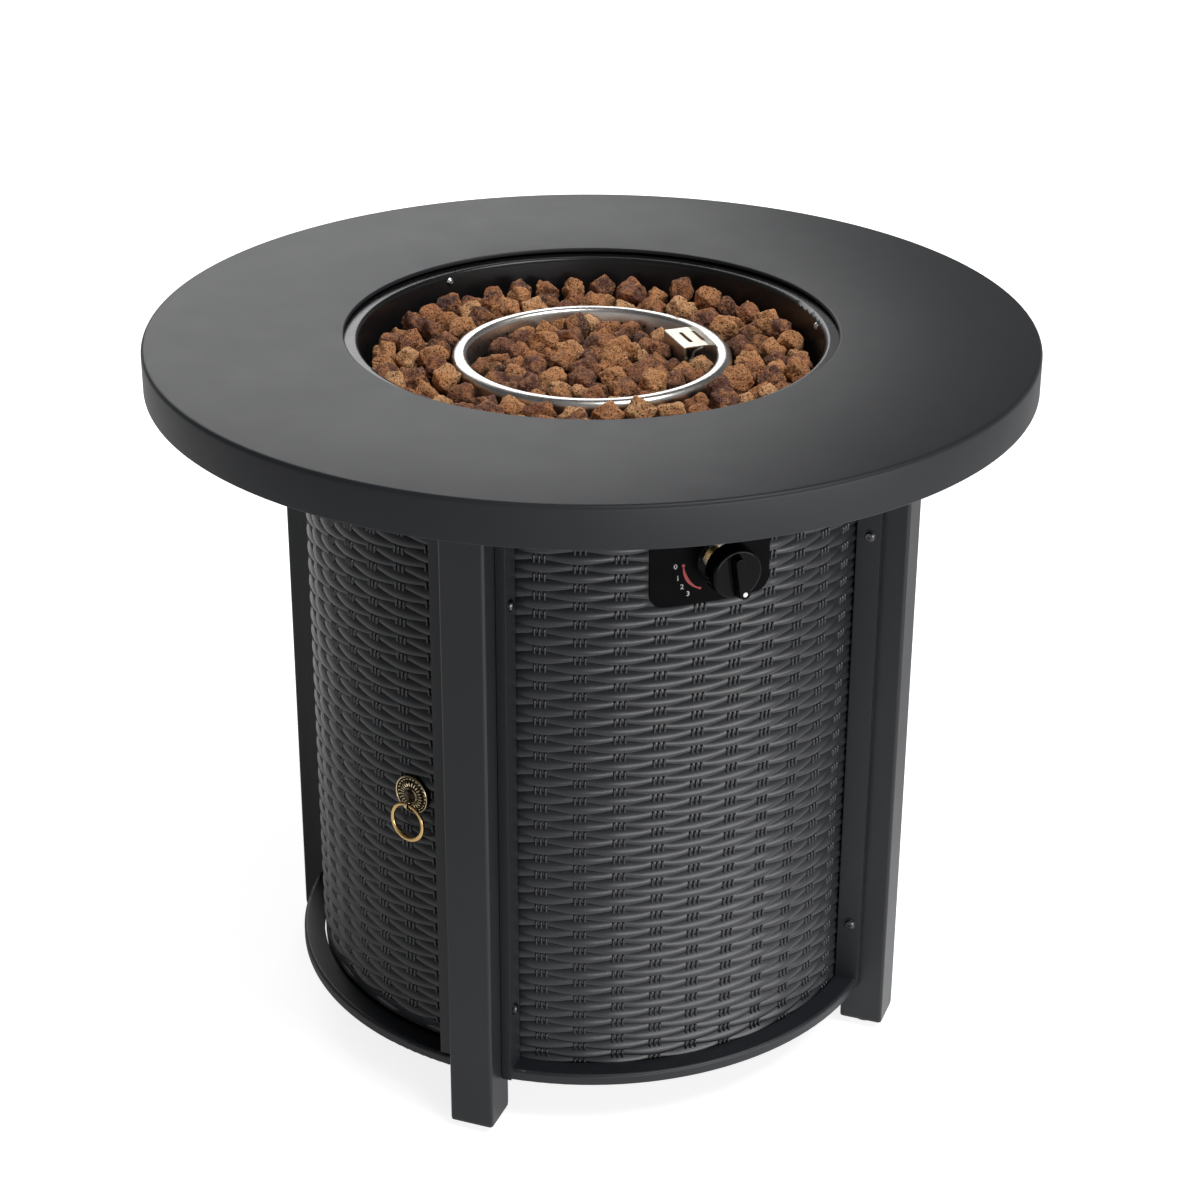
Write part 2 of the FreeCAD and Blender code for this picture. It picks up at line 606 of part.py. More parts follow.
def pilot_shield():
    """Bent hood over the electrode: foot, riser, slotted top and a lip that slopes on to the ring."""
    foot_in = HOOD_IN - 14
    top = BURNER_CREST + 1.6
    profile = [
        (foot_in, FLOOR_TOP), (HOOD_IN + THIN, FLOOR_TOP, 2.4), (HOOD_IN + THIN, top - THIN, 1.2),
        (HOOD_OUT - 8, top - THIN), (HOOD_OUT, top - THIN - 1.0), (HOOD_OUT, top - 1.0), (HOOD_OUT - 8, top),
        (HOOD_IN, top, 2.4), (HOOD_IN, FLOOR_TOP + THIN, 1.2), (foot_in, FLOOR_TOP + THIN)]
    wire = outline(profile, lambda p: Vector(-HOOD_HALF, -p.x, p.y))
    sheet = Part.Face(wire).extrude(Vector(2 * HOOD_HALF, 0, 0))
    tools = []
    for radial in (HOOD_IN + 11.0, HOOD_IN + 23.0):
        ends = [(-13, -radial - 1.75, 1.7), (13, -radial - 1.75, 1.7), (13, -radial + 1.75, 1.7),
                (-13, -radial + 1.75, 1.7)]
        tools.append(plate(ends, top - 5, top + 5))
    for x in (-16, 16):
        tools.append(Part.makeCylinder(1.6, 10, Vector(x, -68, FLOOR_TOP - 2)))
    return [turned(cut(sheet, tools), HOOD_AZ)]


def shield_screws():
    return [turned(button_screw(Vector(x, -68, FLOOR_TOP + THIN), Vector(0, 0, -1), 6, thread=1.6, head=3.4,
                                washer=False), HOOD_AZ) for x in (-16, 16)]


def electrode():
    """Ceramic rod through the bowl's floor with a wire tip bent towards the ports."""
    ceramic = on_axis([(0, 0), (3.5, 0), (3.5, FLOOR_TOP - 556), (5.0, FLOOR_TOP - 556), (5.0, FLOOR_TOP - 552),
                       (3.5, FLOOR_TOP - 552), (3.5, 42), (1.5, 44.5), (0, 44.5)],
                      Vector(-9, -90, 556), Z_AXIS)
    tip = bent_bar([Vector(-9, -90, 598), Vector(-9, -90, 606), Vector(-9, -99.5, 609)], 0.9)
    return [turned(fused([ceramic, tip]), HOOD_AZ)]


def thermocouple():
    body = on_axis([(0, 0), (3.0, 0), (3.0, FLOOR_TOP - 556), (5.0, FLOOR_TOP - 556), (5.0, FLOOR_TOP - 551),
                    (3.0, FLOOR_TOP - 551), (3.0, 38), (2.2, 39.5), (2.2, 52), (1.2, 54), (0, 54)],
                   Vector(9, -90, 556), Z_AXIS)
    return [turned(body, HOOD_AZ)]


def rock_points(half, height, dice):
    """Corners of a lump of lava rock, on an uneven ellipsoid that stands on z = 0."""
    count = 10
    turn = dice.uniform(0, 2 * math.pi)
    lean = dice.uniform(0, math.pi)
    narrow = dice.uniform(0.8, 1.0)
    raw = []
    for k in range(count):
        level = 1 - 2 * (k + 0.5) / count + dice.uniform(-0.07, 0.07)
        angle = turn + GOLDEN_ANGLE * k + dice.uniform(-0.28, 0.28)
        flat = half * math.sqrt(max(0.0, 1 - level * level))
        x, y = flat * math.cos(angle), narrow * flat * math.sin(angle)
        raw.append((x * math.cos(lean) - y * math.sin(lean), x * math.sin(lean) + y * math.cos(lean), level))
    low, high = min(p[2] for p in raw), max(p[2] for p in raw)
    return [Vector(x, y, height * (level - low) / (high - low)) for x, y, level in raw]


def hull_faces(points):
    """Corner triples of the convex hull, each turned so that its normal points outward."""
    faces = []
    middle = sum(points, Vector()) / len(points)
    for i, j, k in itertools.combinations(range(len(points)), 3):
        normal = (points[j] - points[i]).cross(points[k] - points[i]).normalize()
        side = [normal.dot(p - points[i]) for n, p in enumerate(points) if n not in (i, j, k)]
        if max(side) < 0 or min(side) > 0:
            outward = normal.dot(points[i] - middle) > 0
            faces.append(((i, j, k) if outward else (i, k, j), normal if outward else -normal))
    return faces


class Lump:
    """A convex body for the packing of the rock: its corners, its face planes and its place."""

    def __init__(self, points, faces, normals):
        self.points = points
        self.faces = faces
        self.planes = [(n, max(n.dot(p) for p in points)) for n in normals]
        self.reach = max(p.Length for p in points)
        self.place = Vector()

    def beyond(self, other):
        """True where one of this body's face planes has the whole of the other outside it."""
        shift = other.place - self.place
        for normal, offset in self.planes:
            limit = offset - normal.dot(shift) + ROCK_GAP
            if min(normal.dot(p) for p in other.points) > limit:
                return True
        return False

    def clear_of(self, others):
        for other in others:
            if (other.place - self.place).Length > self.reach + other.reach:
                continue
            if not self.beyond(other) and not other.beyond(self):
                return False
        return True

    def solid(self):
        corners = [p + self.place for p in self.points]
        faces = [Part.Face(Part.makePolygon([corners[i] for i in (*f, f[0])])) for f in self.faces]
        return Part.Solid(Part.Shell(faces))


def rock_lump(half, height, dice):
    points = rock_points(half, height, dice)
    faces = hull_faces(points)
    return Lump(points, [f[0] for f in faces], [f[1] for f in faces])


def block_lump(x, y, z):
    """A block that the rocks rest on or lie against."""
    corners = [Vector(*p) for p in itertools.product(x, y, z)]
    normals = [Vector(1, 0, 0), Vector(-1, 0, 0), Vector(0, 1, 0), Vector(0, -1, 0), Vector(0, 0, 1),
               Vector(0, 0, -1)]
    return Lump(corners, [], normals)


def settle(x, y, half, height, start, floor, others, dice):
    """Drops a rock at (x, y) from start until it rests on the others or the floor; it shrinks to fit."""
    for _ in range(6):
        lump = rock_lump(half, height, dice)
        near = [o for o in others if math.hypot(o.place.x - x, o.place.y - y) < lump.reach + o.reach]
        lump.place = Vector(x, y, start)
        if lump.clear_of(near):
            low, high = floor, start
            for _ in range(7):
                middle = (low + high) / 2
                lump.place = Vector(x, y, middle)
                if lump.clear_of(near):
                    high = middle
                else:
                    low = middle
            lump.place = Vector(x, y, high if high > floor + 0.2 else floor)
            return lump
        half, height = half * 0.94, height * 0.97
    return None


def rock_bed(spots, heights, start, others, dice):
    """Settles a rock at each (x, y, half width) spot, on what already lies there."""
    for x, y, half in spots:
        lump = settle(x, y, half, dice.uniform(*heights), start, FLOOR_TOP, others, dice)
        if lump is not None:
            others.append(lump)


def circle_spots(radius, count, half, dice, first=None):
    """Places for rocks round a circle."""
    turn = dice.uniform(0, 360) if first is None else first
    spots = []
    for k in range(count):
        a = math.radians(turn + 360.0 * k / count)
        spots.append((radius * math.sin(a), -radius * math.cos(a), half * dice.uniform(0.88, 1.0)))
    return spots


def off_hood(spots, radial_low):
    """Leaves out the places where a rock would reach into the hood."""
    a = math.radians(-HOOD_AZ)
    kept = []
    for x, y, half in spots:
        across = x * math.cos(a) - y * math.sin(a)
        radial = -(x * math.sin(a) + y * math.cos(a))
        if abs(across) > HOOD_HALF + half + 0.5 or radial < radial_low - half - 0.5:
            kept.append((x, y, half))
    return kept


def lava_rocks_outer():
    dice = random.Random(11)
    rocks = []
    for radius, count, half in ((138.6, 26, 17.6), (172.0, 32, 17.8)):
        rock_bed(circle_spots(radius, count, half, dice), (23, 27), FLOOR_TOP, rocks, dice)
    for radius, count, half in ((135.4, 31, 14.2), (158.0, 38, 14.4), (177.8, 44, 13.0)):
        rock_bed(circle_spots(radius, count, half, dice), (20, 27), ROCK_START, rocks, dice)
    return [lump.solid() for lump in rocks]


def lava_rocks_inner():
    dice = random.Random(5)
    pipe = block_lump((-FEED_R, FEED_R), (-104, 104), (FLOOR_TOP, FEED_Z + FEED_R))
    rocks = [pipe]
    spots = [(x, y, 16.4) for x in (-60, -26, 26, 60) for y in (-64, -32, 0, 32, 64)
             if math.hypot(x, y) < BURNER_FOOT_IN - 17]
    rock_bed(off_hood(spots, HOOD_IN - 14), (22, 26), FLOOR_TOP, rocks, dice)
    for radius, count, half in ((0.0, 1, 13.5), (26.0, 6, 15.0), (52.5, 12, 15.2), (82.0, 19, 14.4)):
        spots = circle_spots(radius, count, half, dice)
        rock_bed(off_hood(spots, HOOD_IN), (20, 26), ROCK_START, rocks, dice)
    return [lump.solid() for lump in rocks if lump is not pipe]


def heat_shield():
    low = 509.0
    disc = revolved([(0, 516), (163.8, 516, 1.5), (163.8, low), (165, low), (165, 517.2, 2.7), (0, 517.2)])
    holes = [turned(Part.makeCylinder(2.5, 10, Vector(0, -STANDOFF_AT, 512)), az) for az in STANDOFF_AZIMUTHS]
    return [cut(disc, holes)]


def shield_standoffs():
    spacer = on_axis([(0, -5), (2.5, -5), (2.5, 0), (6, 0), (6, FLOOR_UNDER - 517.2), (2.5, FLOOR_UNDER - 517.2),
                      (2.5, FLOOR_UNDER - 517.2 + 3), (0, FLOOR_UNDER - 517.2 + 3)],
                     Vector(0, -STANDOFF_AT, 517.2), Z_AXIS)
    return [turned(spacer, az) for az in STANDOFF_AZIMUTHS]


def shield_nuts():
    return [turned(hexagon(8, Vector(0, -STANDOFF_AT, 512.2), Vector(0, -STANDOFF_AT, 516), 2.5), az)
            for az in STANDOFF_AZIMUTHS]


# Gas train and control

def mixer_elbow():
    """Cast elbow from the burner's foot to the level mixer."""
    bend, wall = 14.0, 10.5
    centre = Vector(0, -bend, TRAIN_Z + bend)
    quarter = Part.makeTorus(bend, wall, centre, Vector(1, 0, 0))
    quarter = quarter.common(box((-20, 20), (-bend, 20), (TRAIN_Z - 20, TRAIN_Z + bend)))
    riser = post(wall, Vector(0, 0, TRAIN_Z + bend), Vector(0, 0, TRAIN_Z + 18))
    level = post(wall, Vector(0, -bend, TRAIN_Z), Vector(0, -30, TRAIN_Z))
    socket = post(FEED_R, Vector(0, 0, TRAIN_Z + 12), Vector(0, 0, TRAIN_Z + 19))
    bore = post(7.0, Vector(0, -31, TRAIN_Z), Vector(0, -18, TRAIN_Z))
    return [fused([quarter, riser, level]).cut(socket).cut(bore)]


def air_mixer():
    """Tube with air windows between the orifice and the elbow."""
    body = on_axis([(5.0, 0), (12.0, 0, 1.5), (12.0, 62, 1.5), (5.0, 62)], Vector(0, -30, TRAIN_Z), Vector(0, -1, 0))
    windows = []
    for k in range(3):
        slot = box((-3.5, 3.5), (-84, -62), (TRAIN_Z, TRAIN_Z + 16))
        slot.rotate(Vector(0, 0, TRAIN_Z), Vector(0, 1, 0), 60 + 120 * k)
        windows.append(slot)
    return [cut(body, windows)]


def orifice_fitting():
    nut = hexagon(17, Vector(0, -92, TRAIN_Z), Vector(0, -108, TRAIN_Z))
    tip = on_axis([(0, 0), (5.0, 0), (5.0, 4), (2.5, 10), (0, 10)], Vector(0, -92, TRAIN_Z), Vector(0, 1, 0))
    return [fused([nut, tip])]


def gas_tube():
    route = [Vector(0, -108, TRAIN_Z), Vector(0, -140, TRAIN_Z), Vector(KNOB_X, -171, KNOB_Z),
             Vector(KNOB_X, -205, KNOB_Z)]
    return [bent_bar(route, 4.0)]


def gas_valve():
    """Valve body with its boss for the tube, the side tap for the thermocouple and the lead's spigot."""
    front, back = -240.0, -208.0
    body = plate([(KNOB_X - 14, front, 3), (KNOB_X + 14, front, 3), (KNOB_X + 14, back, 5), (KNOB_X - 14, back, 5)],
                 KNOB_Z - 14, KNOB_Z + 14)
    outlet = post(7.5, Vector(KNOB_X, back, KNOB_Z), Vector(KNOB_X, -205, KNOB_Z))
    inlet = post(8.5, Vector(KNOB_X, -224, KNOB_Z - 19), Vector(KNOB_X, -224, KNOB_Z - 10))
    tap = post(6.0, Vector(KNOB_X + 10, -224, KNOB_Z), Vector(KNOB_X + 21, -224, KNOB_Z))
    spigot = post(3.5, Vector(KNOB_X - 10, -218, KNOB_Z + 6), Vector(KNOB_X - 20, -218, KNOB_Z + 6))
    bore = post(STEM_R + RUN_FIT, Vector(KNOB_X, front - 1, KNOB_Z), Vector(KNOB_X, -210, KNOB_Z))
    return [fused([body, outlet, inlet, tap, spigot]).cut(bore)]


def valve_bracket():
    """Hat-shaped bracket between the valve's neck and the back of the front panel."""
    low, high = KNOB_Z - 24, KNOB_Z + 30
    web = box((KNOB_X - 31, KNOB_X + 31), (-241.5, -240), (low, high))
    skin = ring(PANEL_IN - SHEET, PANEL_IN, low, high, 30, -15)
    sides = []
    for side in (-1, 1):
        x = sorted((KNOB_X + side * 31, KNOB_X + side * 29.5))
        sides.append(box(x, (-247.2, -240), (low, high)))
        foot = sorted((KNOB_X + side * 29.5, KNOB_X + side * 44))
        sides.append(skin.common(box(foot, (-250, -235), (low, high))))
    bore = post(8.5, Vector(KNOB_X, -230, KNOB_Z), Vector(KNOB_X, -245, KNOB_Z))
    inside = Part.makeCylinder(PANEL_IN, TABLE_H, ORIGIN)
    return [fused([web] + sides).common(inside).cut(bore)]


def valve_sleeve():
    """Threaded brass neck of the valve, open to the front round the stem."""
    return [on_axis([(6.5, 0), (8.5, 0), (8.5, 22, 0.8), (6.5, 22, 0.5)], Vector(KNOB_X, -240, KNOB_Z),
                    Vector(0, -1, 0))]


def valve_nut():
    return [hexagon(22, Vector(KNOB_X, -241.5, KNOB_Z), Vector(KNOB_X, -246, KNOB_Z), 8.5)]


def inlet_fitting():
    """Flare fitting under the valve for the supply hose, with a hexagon above its thread."""
    top = KNOB_Z - 19
    nut = hexagon(19, Vector(KNOB_X, -224, top - 7), Vector(KNOB_X, -224, top))
    thread = on_axis([(3.0, 0), (6.2, 0), (7.94, 2.5), (7.94, 15), (3.0, 15)],
                     Vector(KNOB_X, -224, top - 22), Z_AXIS)
    return [fused([nut, thread])]


def valve_stem():
    """Spindle with a flat where the knob sits."""
    front = KNOB_FACE + 4
    stem = post(STEM_R, Vector(KNOB_X, -216, KNOB_Z), Vector(KNOB_X, front, KNOB_Z))
    flat = box((-6, 6), (front - 1, KNOB_BACK), (2.6, 6))
    flat.translate(Vector(KNOB_X, 0, KNOB_Z))
    stem = stem.cut(flat)
    stem.rotate(Vector(KNOB_X, 0, KNOB_Z), Vector(0, -1, 0), KNOB_TURN)
    return [stem]


def stem_collar():
    """Spring cap that slides in the neck when the knob is pushed in."""
    return [on_axis([(STEM_R + RUN_FIT, 0), (6.5 - RUN_FIT, 0), (6.5 - RUN_FIT, 9), (STEM_R + RUN_FIT, 9)],
                    Vector(KNOB_X, -250, KNOB_Z), Vector(0, -1, 0))]


def control_knob():
    """Round skirted knob with a raised grip bar and a dimple for its dot."""
    depth = KNOB_BACK - KNOB_FACE
    reach = KNOB_BACK - KNOB_TIP
    skirt = on_axis([(0, 0), (KNOB_R, 0, 0.6), (KNOB_R - 1.0, depth, 2.6), (0, depth)],
                    ORIGIN, Vector(0, -1, 0))
    hollow = on_axis([(8, 0), (KNOB_R - 2.4, 0), (KNOB_R - 3.2, depth - 3.0, 2.0), (8, depth - 3.0)],
                     ORIGIN, Vector(0, -1, 0))
    grip_wire = outline([(-7.5, -KNOB_R + 1.6, 6.0), (7.5, -KNOB_R + 1.6, 6.0), (5.5, KNOB_R - 3, 4.8),
                         (-5.5, KNOB_R - 3, 4.8)], lambda p: Vector(p.x, -depth + 2, p.y))
    tip_wire = outline([(-4.6, -KNOB_R + 3.4, 4.0), (4.6, -KNOB_R + 3.4, 4.0), (3.6, KNOB_R - 5, 3.2),
                        (-3.6, KNOB_R - 5, 3.2)], lambda p: Vector(p.x, -reach, p.y))
    grip = Part.makeLoft([grip_wire, tip_wire], True, True)
    bore = post(STEM_R, Vector(0, 1, 0), Vector(0, -depth + 4, 0))
    key = box((-6, 6), (-depth + 4, 1), (2.6, 6))
    dot = post(2.15, Vector(0, -reach - 1, -KNOB_R + 7.4), Vector(0, -reach + 0.5, -KNOB_R + 7.4))
    knob = fused([skirt, grip]).cut(hollow).cut(bore.cut(key)).cut(dot)
    knob.rotate(ORIGIN, Vector(0, -1, 0), KNOB_TURN)
    knob.translate(Vector(KNOB_X, KNOB_BACK, KNOB_Z))
    return [knob]


def control_plate():
    low, high, corner = 489.0, 588.0, 12.0
    left, right = -14.0, 10.4
    skin = ring(PANEL_R, PANEL_R + THIN, low - 5, high + 5, right - left + 4, left - 2)
    edges = [PANEL_R * math.sin(math.radians(a)) for a in (left, right)]
    wire = outline([(edges[0], low, corner), (edges[1], low, corner), (edges[1], high, corner),
                    (edges[0], high, corner)], lambda p: Vector(p.x, -200, p.y))
    blank = Part.Face(wire).extrude(Vector(0, -80, 0))
    return [skin.common(blank).cut(knob_opening())]


def ignition_lead():
    """Lead from the foot of the electrode to the valve's spark spigot."""
    foot = turned(Part.Vertex(Vector(-9, -90, 556)), HOOD_AZ).Point
    end = Vector(KNOB_X - 20, -218, KNOB_Z + 6)
    route = [foot, foot - Vector(0, 0, 18), Vector(64, 20, 534), Vector(-12, 30, 531), Vector(-62, -24, 532),
             Vector(-72, -104, 534), Vector(-66, -178, 534), Vector(-48, -218, KNOB_Z + 6), end]
    return [bent_bar(route, 1.8)]


def thermocouple_lead():
    foot = turned(Part.Vertex(Vector(9, -90, 556)), HOOD_AZ).Point
    end = Vector(KNOB_X + 21, -224, KNOB_Z)
    route = [foot, foot - Vector(0, 0, 18), Vector(86, -42, 532), Vector(80, -110, 534), Vector(70, -178, 531),
             Vector(48, -224, KNOB_Z), end]
    return [bent_bar(route, 1.5)]


# Base

def base_plate():
    disc = Part.makeCylinder(PANEL_IN - 0.3, SHEET, Vector(0, 0, BASE_LOW))
    holes = [Part.makeCylinder(30, 10, Vector(0, 0, BASE_LOW - 3))]
    for k in range(12):
        slot = plate([(-6, -190, 5.9), (6, -190, 5.9), (6, -140, 5.9), (-6, -140, 5.9)], BASE_LOW - 3, BASE_LOW + 5)
        holes.append(turned(slot, 30 * k))
    for az in LEG_AZIMUTHS:
        holes.append(turned(Part.makeCylinder(2.1, 10, Vector(0, -232, BASE_LOW - 3)), az))
    return [cut(disc, holes)]


def tank_ring():
    low = BASE_LOW + SHEET
    collar = revolved([(TANK_RING_R, low), (TANK_RING_R + 14, low), (TANK_RING_R + 14, low + SHEET),
                       (TANK_RING_R + SHEET, low + SHEET, 1.5), (TANK_RING_R + SHEET, low + TANK_RING_H),
                       (TANK_RING_R, low + TANK_RING_H)])
    return [collar]


def base_brackets():
    angle = fused([leg_box((214, 252), (-15, 15), (BASE_LOW - SHEET, BASE_LOW)),
                   leg_box((250.5, 252), (-15, 15), (22, BASE_LOW))])
    holes = [post(2.0, Vector(x, -249, 33), Vector(x, -253, 33)) for x in (-9, 9)]
    holes.append(Part.makeCylinder(2.1, 10, Vector(0, -232, BASE_LOW - 5)))
    return [turned(cut(angle, holes), az) for az in LEG_AZIMUTHS]


def base_screws():
    screws = []
    for az in LEG_AZIMUTHS:
        for x in (-9, 9):
            screws.append(turned(button_screw(Vector(x, -250.5, 33), Vector(0, -1, 0), 5, thread=2.0, head=4.0,
                                              washer=False), az))
        top = Vector(0, -232, BASE_LOW + SHEET)
        screws.append(turned(button_screw(top, Vector(0, 0, -1), 8, thread=2.1, head=4.0, washer=False), az))
    return screws


# Every node

def nodes():
    fixed, moving, pins = hinge_parts()
    strip, magnet, strike = catch_parts()
    back_left = 225.0
    front_left = -45.0
    named = {
        "tabletop": tabletop(),
        "top_ring": top_ring(),
        "table_ribs": table_ribs(),
        "bowl_hanger_ring": bowl_hanger_ring(),
        "leg_brackets": leg_brackets(),
        "bracket_screws": leg_bracket_screws() + door_rail_screws() + base_screws(),
        "leg_front_left": leg(-45.0),
        "leg_front_right": leg(45.0),
        "leg_back_right": leg(135.0),
        "leg_back_left": leg(225.0),
        "leg_end_plugs": leg_end_plugs(),
        "leg_glides": leg_glides(),
        "front_panel": front_panel(),
        "right_panel": [panel_sheet(90)],
        "back_panel": [panel_sheet(180)],
        "front_panel_frame": [panel_frame(0)],
        "right_panel_frame": [panel_frame(90)],
        "back_panel_frame": [panel_frame(180)],
        "panel_screws": panel_screws(),
        "door_sill": [door_rail(RAIL_LOW, RAIL_LOW + RAIL_H, RAIL_LOW, 75, DOOR_TAB_HEIGHTS[0])],
        "door_header": [door_rail(HEAD_LOW, HEAD_HIGH, 582, HEAD_HIGH, DOOR_TAB_HEIGHTS[1])],
        "door_panel": door_panel(),
        "door_frame": door_frame(),
        "hinge_leaves_fixed": [turned(s, back_left) for s in fixed],
        "hinge_leaves_door": [turned(s, back_left) for s in moving],
        "hinge_pins": [turned(s, back_left) for s in pins],
        "magnet_catch": [turned(flipped(s), front_left) for s in (strip, magnet)],
        "catch_strike": [turned(flipped(strike), front_left)],
        "pull_rosette": pull_rosette(),
        "pull_ring": pull_ring(),
        "fire_bowl": fire_bowl(),
        "bowl_brackets": bowl_brackets(),
        "bowl_screws": bowl_screws() + shield_screws(),
        "burner_ring": burner_ring(),
        "burner_feed_pipe": burner_feed_pipe(),
        "lock_nuts": feed_nut() + valve_nut(),
        "pilot_shield": pilot_shield(),
        "electrode": electrode(),
        "thermocouple": thermocouple(),
        "lava_rocks_inner": lava_rocks_inner(),
        "lava_rocks_outer": lava_rocks_outer(),
        "heat_shield": heat_shield(),
        "heat_shield_standoffs": shield_standoffs() + shield_nuts(),
        "mixer_elbow": mixer_elbow(),
        "air_mixer": air_mixer(),
        "orifice_fitting": orifice_fitting(),
        "gas_tube": gas_tube(),
        "gas_valve": gas_valve(),
        "valve_bracket": valve_bracket(),
        "valve_sleeve": valve_sleeve(),
        "valve_stem": valve_stem(),
        "stem_collar": stem_collar(),
        "control_knob": control_knob(),
        "control_plate": control_plate(),
        "inlet_fitting": inlet_fitting(),
        "ignition_lead": ignition_lead(),
        "thermocouple_lead": thermocouple_lead(),
        "base_plate": base_plate(),
        "base_brackets": base_brackets(),
        "tank_ring": tank_ring(),
    }
    return named


def main():
    os.makedirs("parts", exist_ok=True)
    for name, solids in nodes().items():
        loose = [s for shape in solids for s in shape.Solids]
        for s in loose:
            if not s.isValid() or s.Volume <= 0:
                print("check", name, s.isValid(), s.Volume)
        whole = loose[0] if len(loose) == 1 else Part.makeCompound(loose)
        whole.exportStep("parts/" + name + ".step")


main()
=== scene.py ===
import json
import math
import bmesh
import bpy
import numpy as np
from mathutils import Matrix, Vector, noise

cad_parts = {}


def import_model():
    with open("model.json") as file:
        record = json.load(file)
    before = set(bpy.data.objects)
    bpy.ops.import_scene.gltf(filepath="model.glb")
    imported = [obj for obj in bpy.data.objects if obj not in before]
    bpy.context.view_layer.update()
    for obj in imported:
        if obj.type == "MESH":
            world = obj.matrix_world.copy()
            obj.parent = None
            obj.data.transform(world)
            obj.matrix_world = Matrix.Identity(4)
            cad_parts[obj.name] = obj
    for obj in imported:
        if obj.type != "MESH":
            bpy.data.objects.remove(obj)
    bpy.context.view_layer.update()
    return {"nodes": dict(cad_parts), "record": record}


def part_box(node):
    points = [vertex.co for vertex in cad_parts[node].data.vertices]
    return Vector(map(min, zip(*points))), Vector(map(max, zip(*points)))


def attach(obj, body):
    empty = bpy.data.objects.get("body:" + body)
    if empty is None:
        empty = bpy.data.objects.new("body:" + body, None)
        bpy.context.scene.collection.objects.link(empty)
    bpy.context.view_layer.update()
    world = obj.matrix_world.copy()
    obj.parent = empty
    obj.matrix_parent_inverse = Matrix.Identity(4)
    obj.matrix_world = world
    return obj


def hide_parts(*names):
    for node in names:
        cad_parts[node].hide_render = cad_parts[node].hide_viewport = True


# Looks of the gas fire pit table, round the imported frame. Metres, +Z up, azimuth 0 faces -Y.

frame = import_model()
NODES = frame["nodes"]
MM = 0.001

# Driving sizes, read from the frame where it has them

TABLE_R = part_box("tabletop")[1].x
TABLE_LOW, TABLE_TOP = (corner.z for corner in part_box("tabletop"))
HOLE_R = 211 * MM
SHEET = 1.5 * MM
RIM_ROUND = 4 * MM
SMALL_ROUND = 1.6 * MM
LIP_DROP = 3 * MM
FOOT_WIDTH = 9 * MM
TOP_SEGMENTS = 360
TOP_CREASE = math.radians(40)

SHEET_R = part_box("back_panel")[1].y
PLATE_LOW, PLATE_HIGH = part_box("control_plate")
PLATE_FACE_R = -PLATE_LOW.y
DOOR_LOW, DOOR_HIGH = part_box("door_panel")
KNOB_AXIS = Vector((-2 * MM, 0, 525 * MM))
KNOB_TURN = math.radians(10)
KNOB_R = 22 * MM
GRIP_FACE_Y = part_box("control_knob")[0].y
OPENING_R = 19 * MM
OPENING_MARGIN = 1.0 * MM

STAKE_STEP = math.radians(7.57)
ROW_STEP = 8.1 * MM
ROW_ZERO = 59.2 * MM
CREST_R = SHEET_R - 0.1 * MM
CREASE_R = CREST_R - 3.5 * MM
DIVE_R = CREST_R - 2.9 * MM
BACK_R = SHEET_R - 4.2 * MM
FLAT_BACK_R = SHEET_R - 1.2 * MM
SWELL = 1.5 * MM
STRAND_PEAK = 0.26
STRAND_DWELL = 0.6
FOLD_POWER = 2.4
WEAVE_CREASE = math.radians(75)
PLATE_COVER = 1.5 * MM
FIXED_EDGE = math.radians(40.2)
DOOR_EDGE = math.radians(36.4)
SHEET_LOW = 49 * MM
SHEET_HIGH = 606 * MM

BAR_PITCH = 4.3 * MM
BAR_HALF = 1.4 * MM
BAR_REACH = 4.7 * MM
BAR_LIFT = 2.5 * MM
BAR_END = 0.98
BAR_ROOT_R = CREASE_R + 0.2 * MM
BAR_CREST_R = CREST_R - 0.8 * MM

BOWL_FOOT_R, BOWL_TOP_R = 190.5 * MM, 199.5 * MM
BOWL_FLOOR, BOWL_TOP = 573.2 * MM, 631.5 * MM
BURNER_OUT_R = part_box("burner_ring")[1].x
BURNER_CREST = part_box("burner_ring")[1].z
BURNER_IN_R, BURNER_FOOT_R = 108 * MM, 97 * MM

PULL_AZIMUTH = math.radians(-61.2)
ROSETTE_Z = 293 * MM
PULL_PIVOT_R = 257.5 * MM
PULL_PIVOT_Z = 285.9 * MM
PULL_RING_R = 16.4 * MM


def on_cylinder(radius, azimuth, z):
    return Vector((radius * math.sin(azimuth), -radius * math.cos(azimuth), z))


def wander(x, y, z):
    """Smooth noise at a place, the same in each run."""
    return noise.noise(Vector((x, y, z)))


# Materials

def new_material(name):
    material = bpy.data.materials.new(name)
    material.use_nodes = True
    tree = material.node_tree
    return material, tree, tree.nodes["Principled BSDF"]


def object_coordinates(tree):
    for node in tree.nodes:
        if node.bl_idname == "ShaderNodeTexCoord":
            return node.outputs["Object"]
    return tree.nodes.new("ShaderNodeTexCoord").outputs["Object"]


def noise_node(tree, scale, detail=3.0, roughness=0.55, coordinates=None):
    node = tree.nodes.new("ShaderNodeTexNoise")
    node.inputs["Scale"].default_value = scale
    node.inputs["Detail"].default_value = detail
    node.inputs["Roughness"].default_value = roughness
    tree.links.new(coordinates or object_coordinates(tree), node.inputs["Vector"])
    return node.outputs["Fac"]


def cells(tree, scale):
    node = tree.nodes.new("ShaderNodeTexVoronoi")
    node.inputs["Scale"].default_value = scale
    tree.links.new(object_coordinates(tree), node.inputs["Vector"])
    return node.outputs["Distance"]


def attribute(tree, name):
    node = tree.nodes.new("ShaderNodeAttribute")
    node.attribute_name = name
    return node.outputs["Fac"]


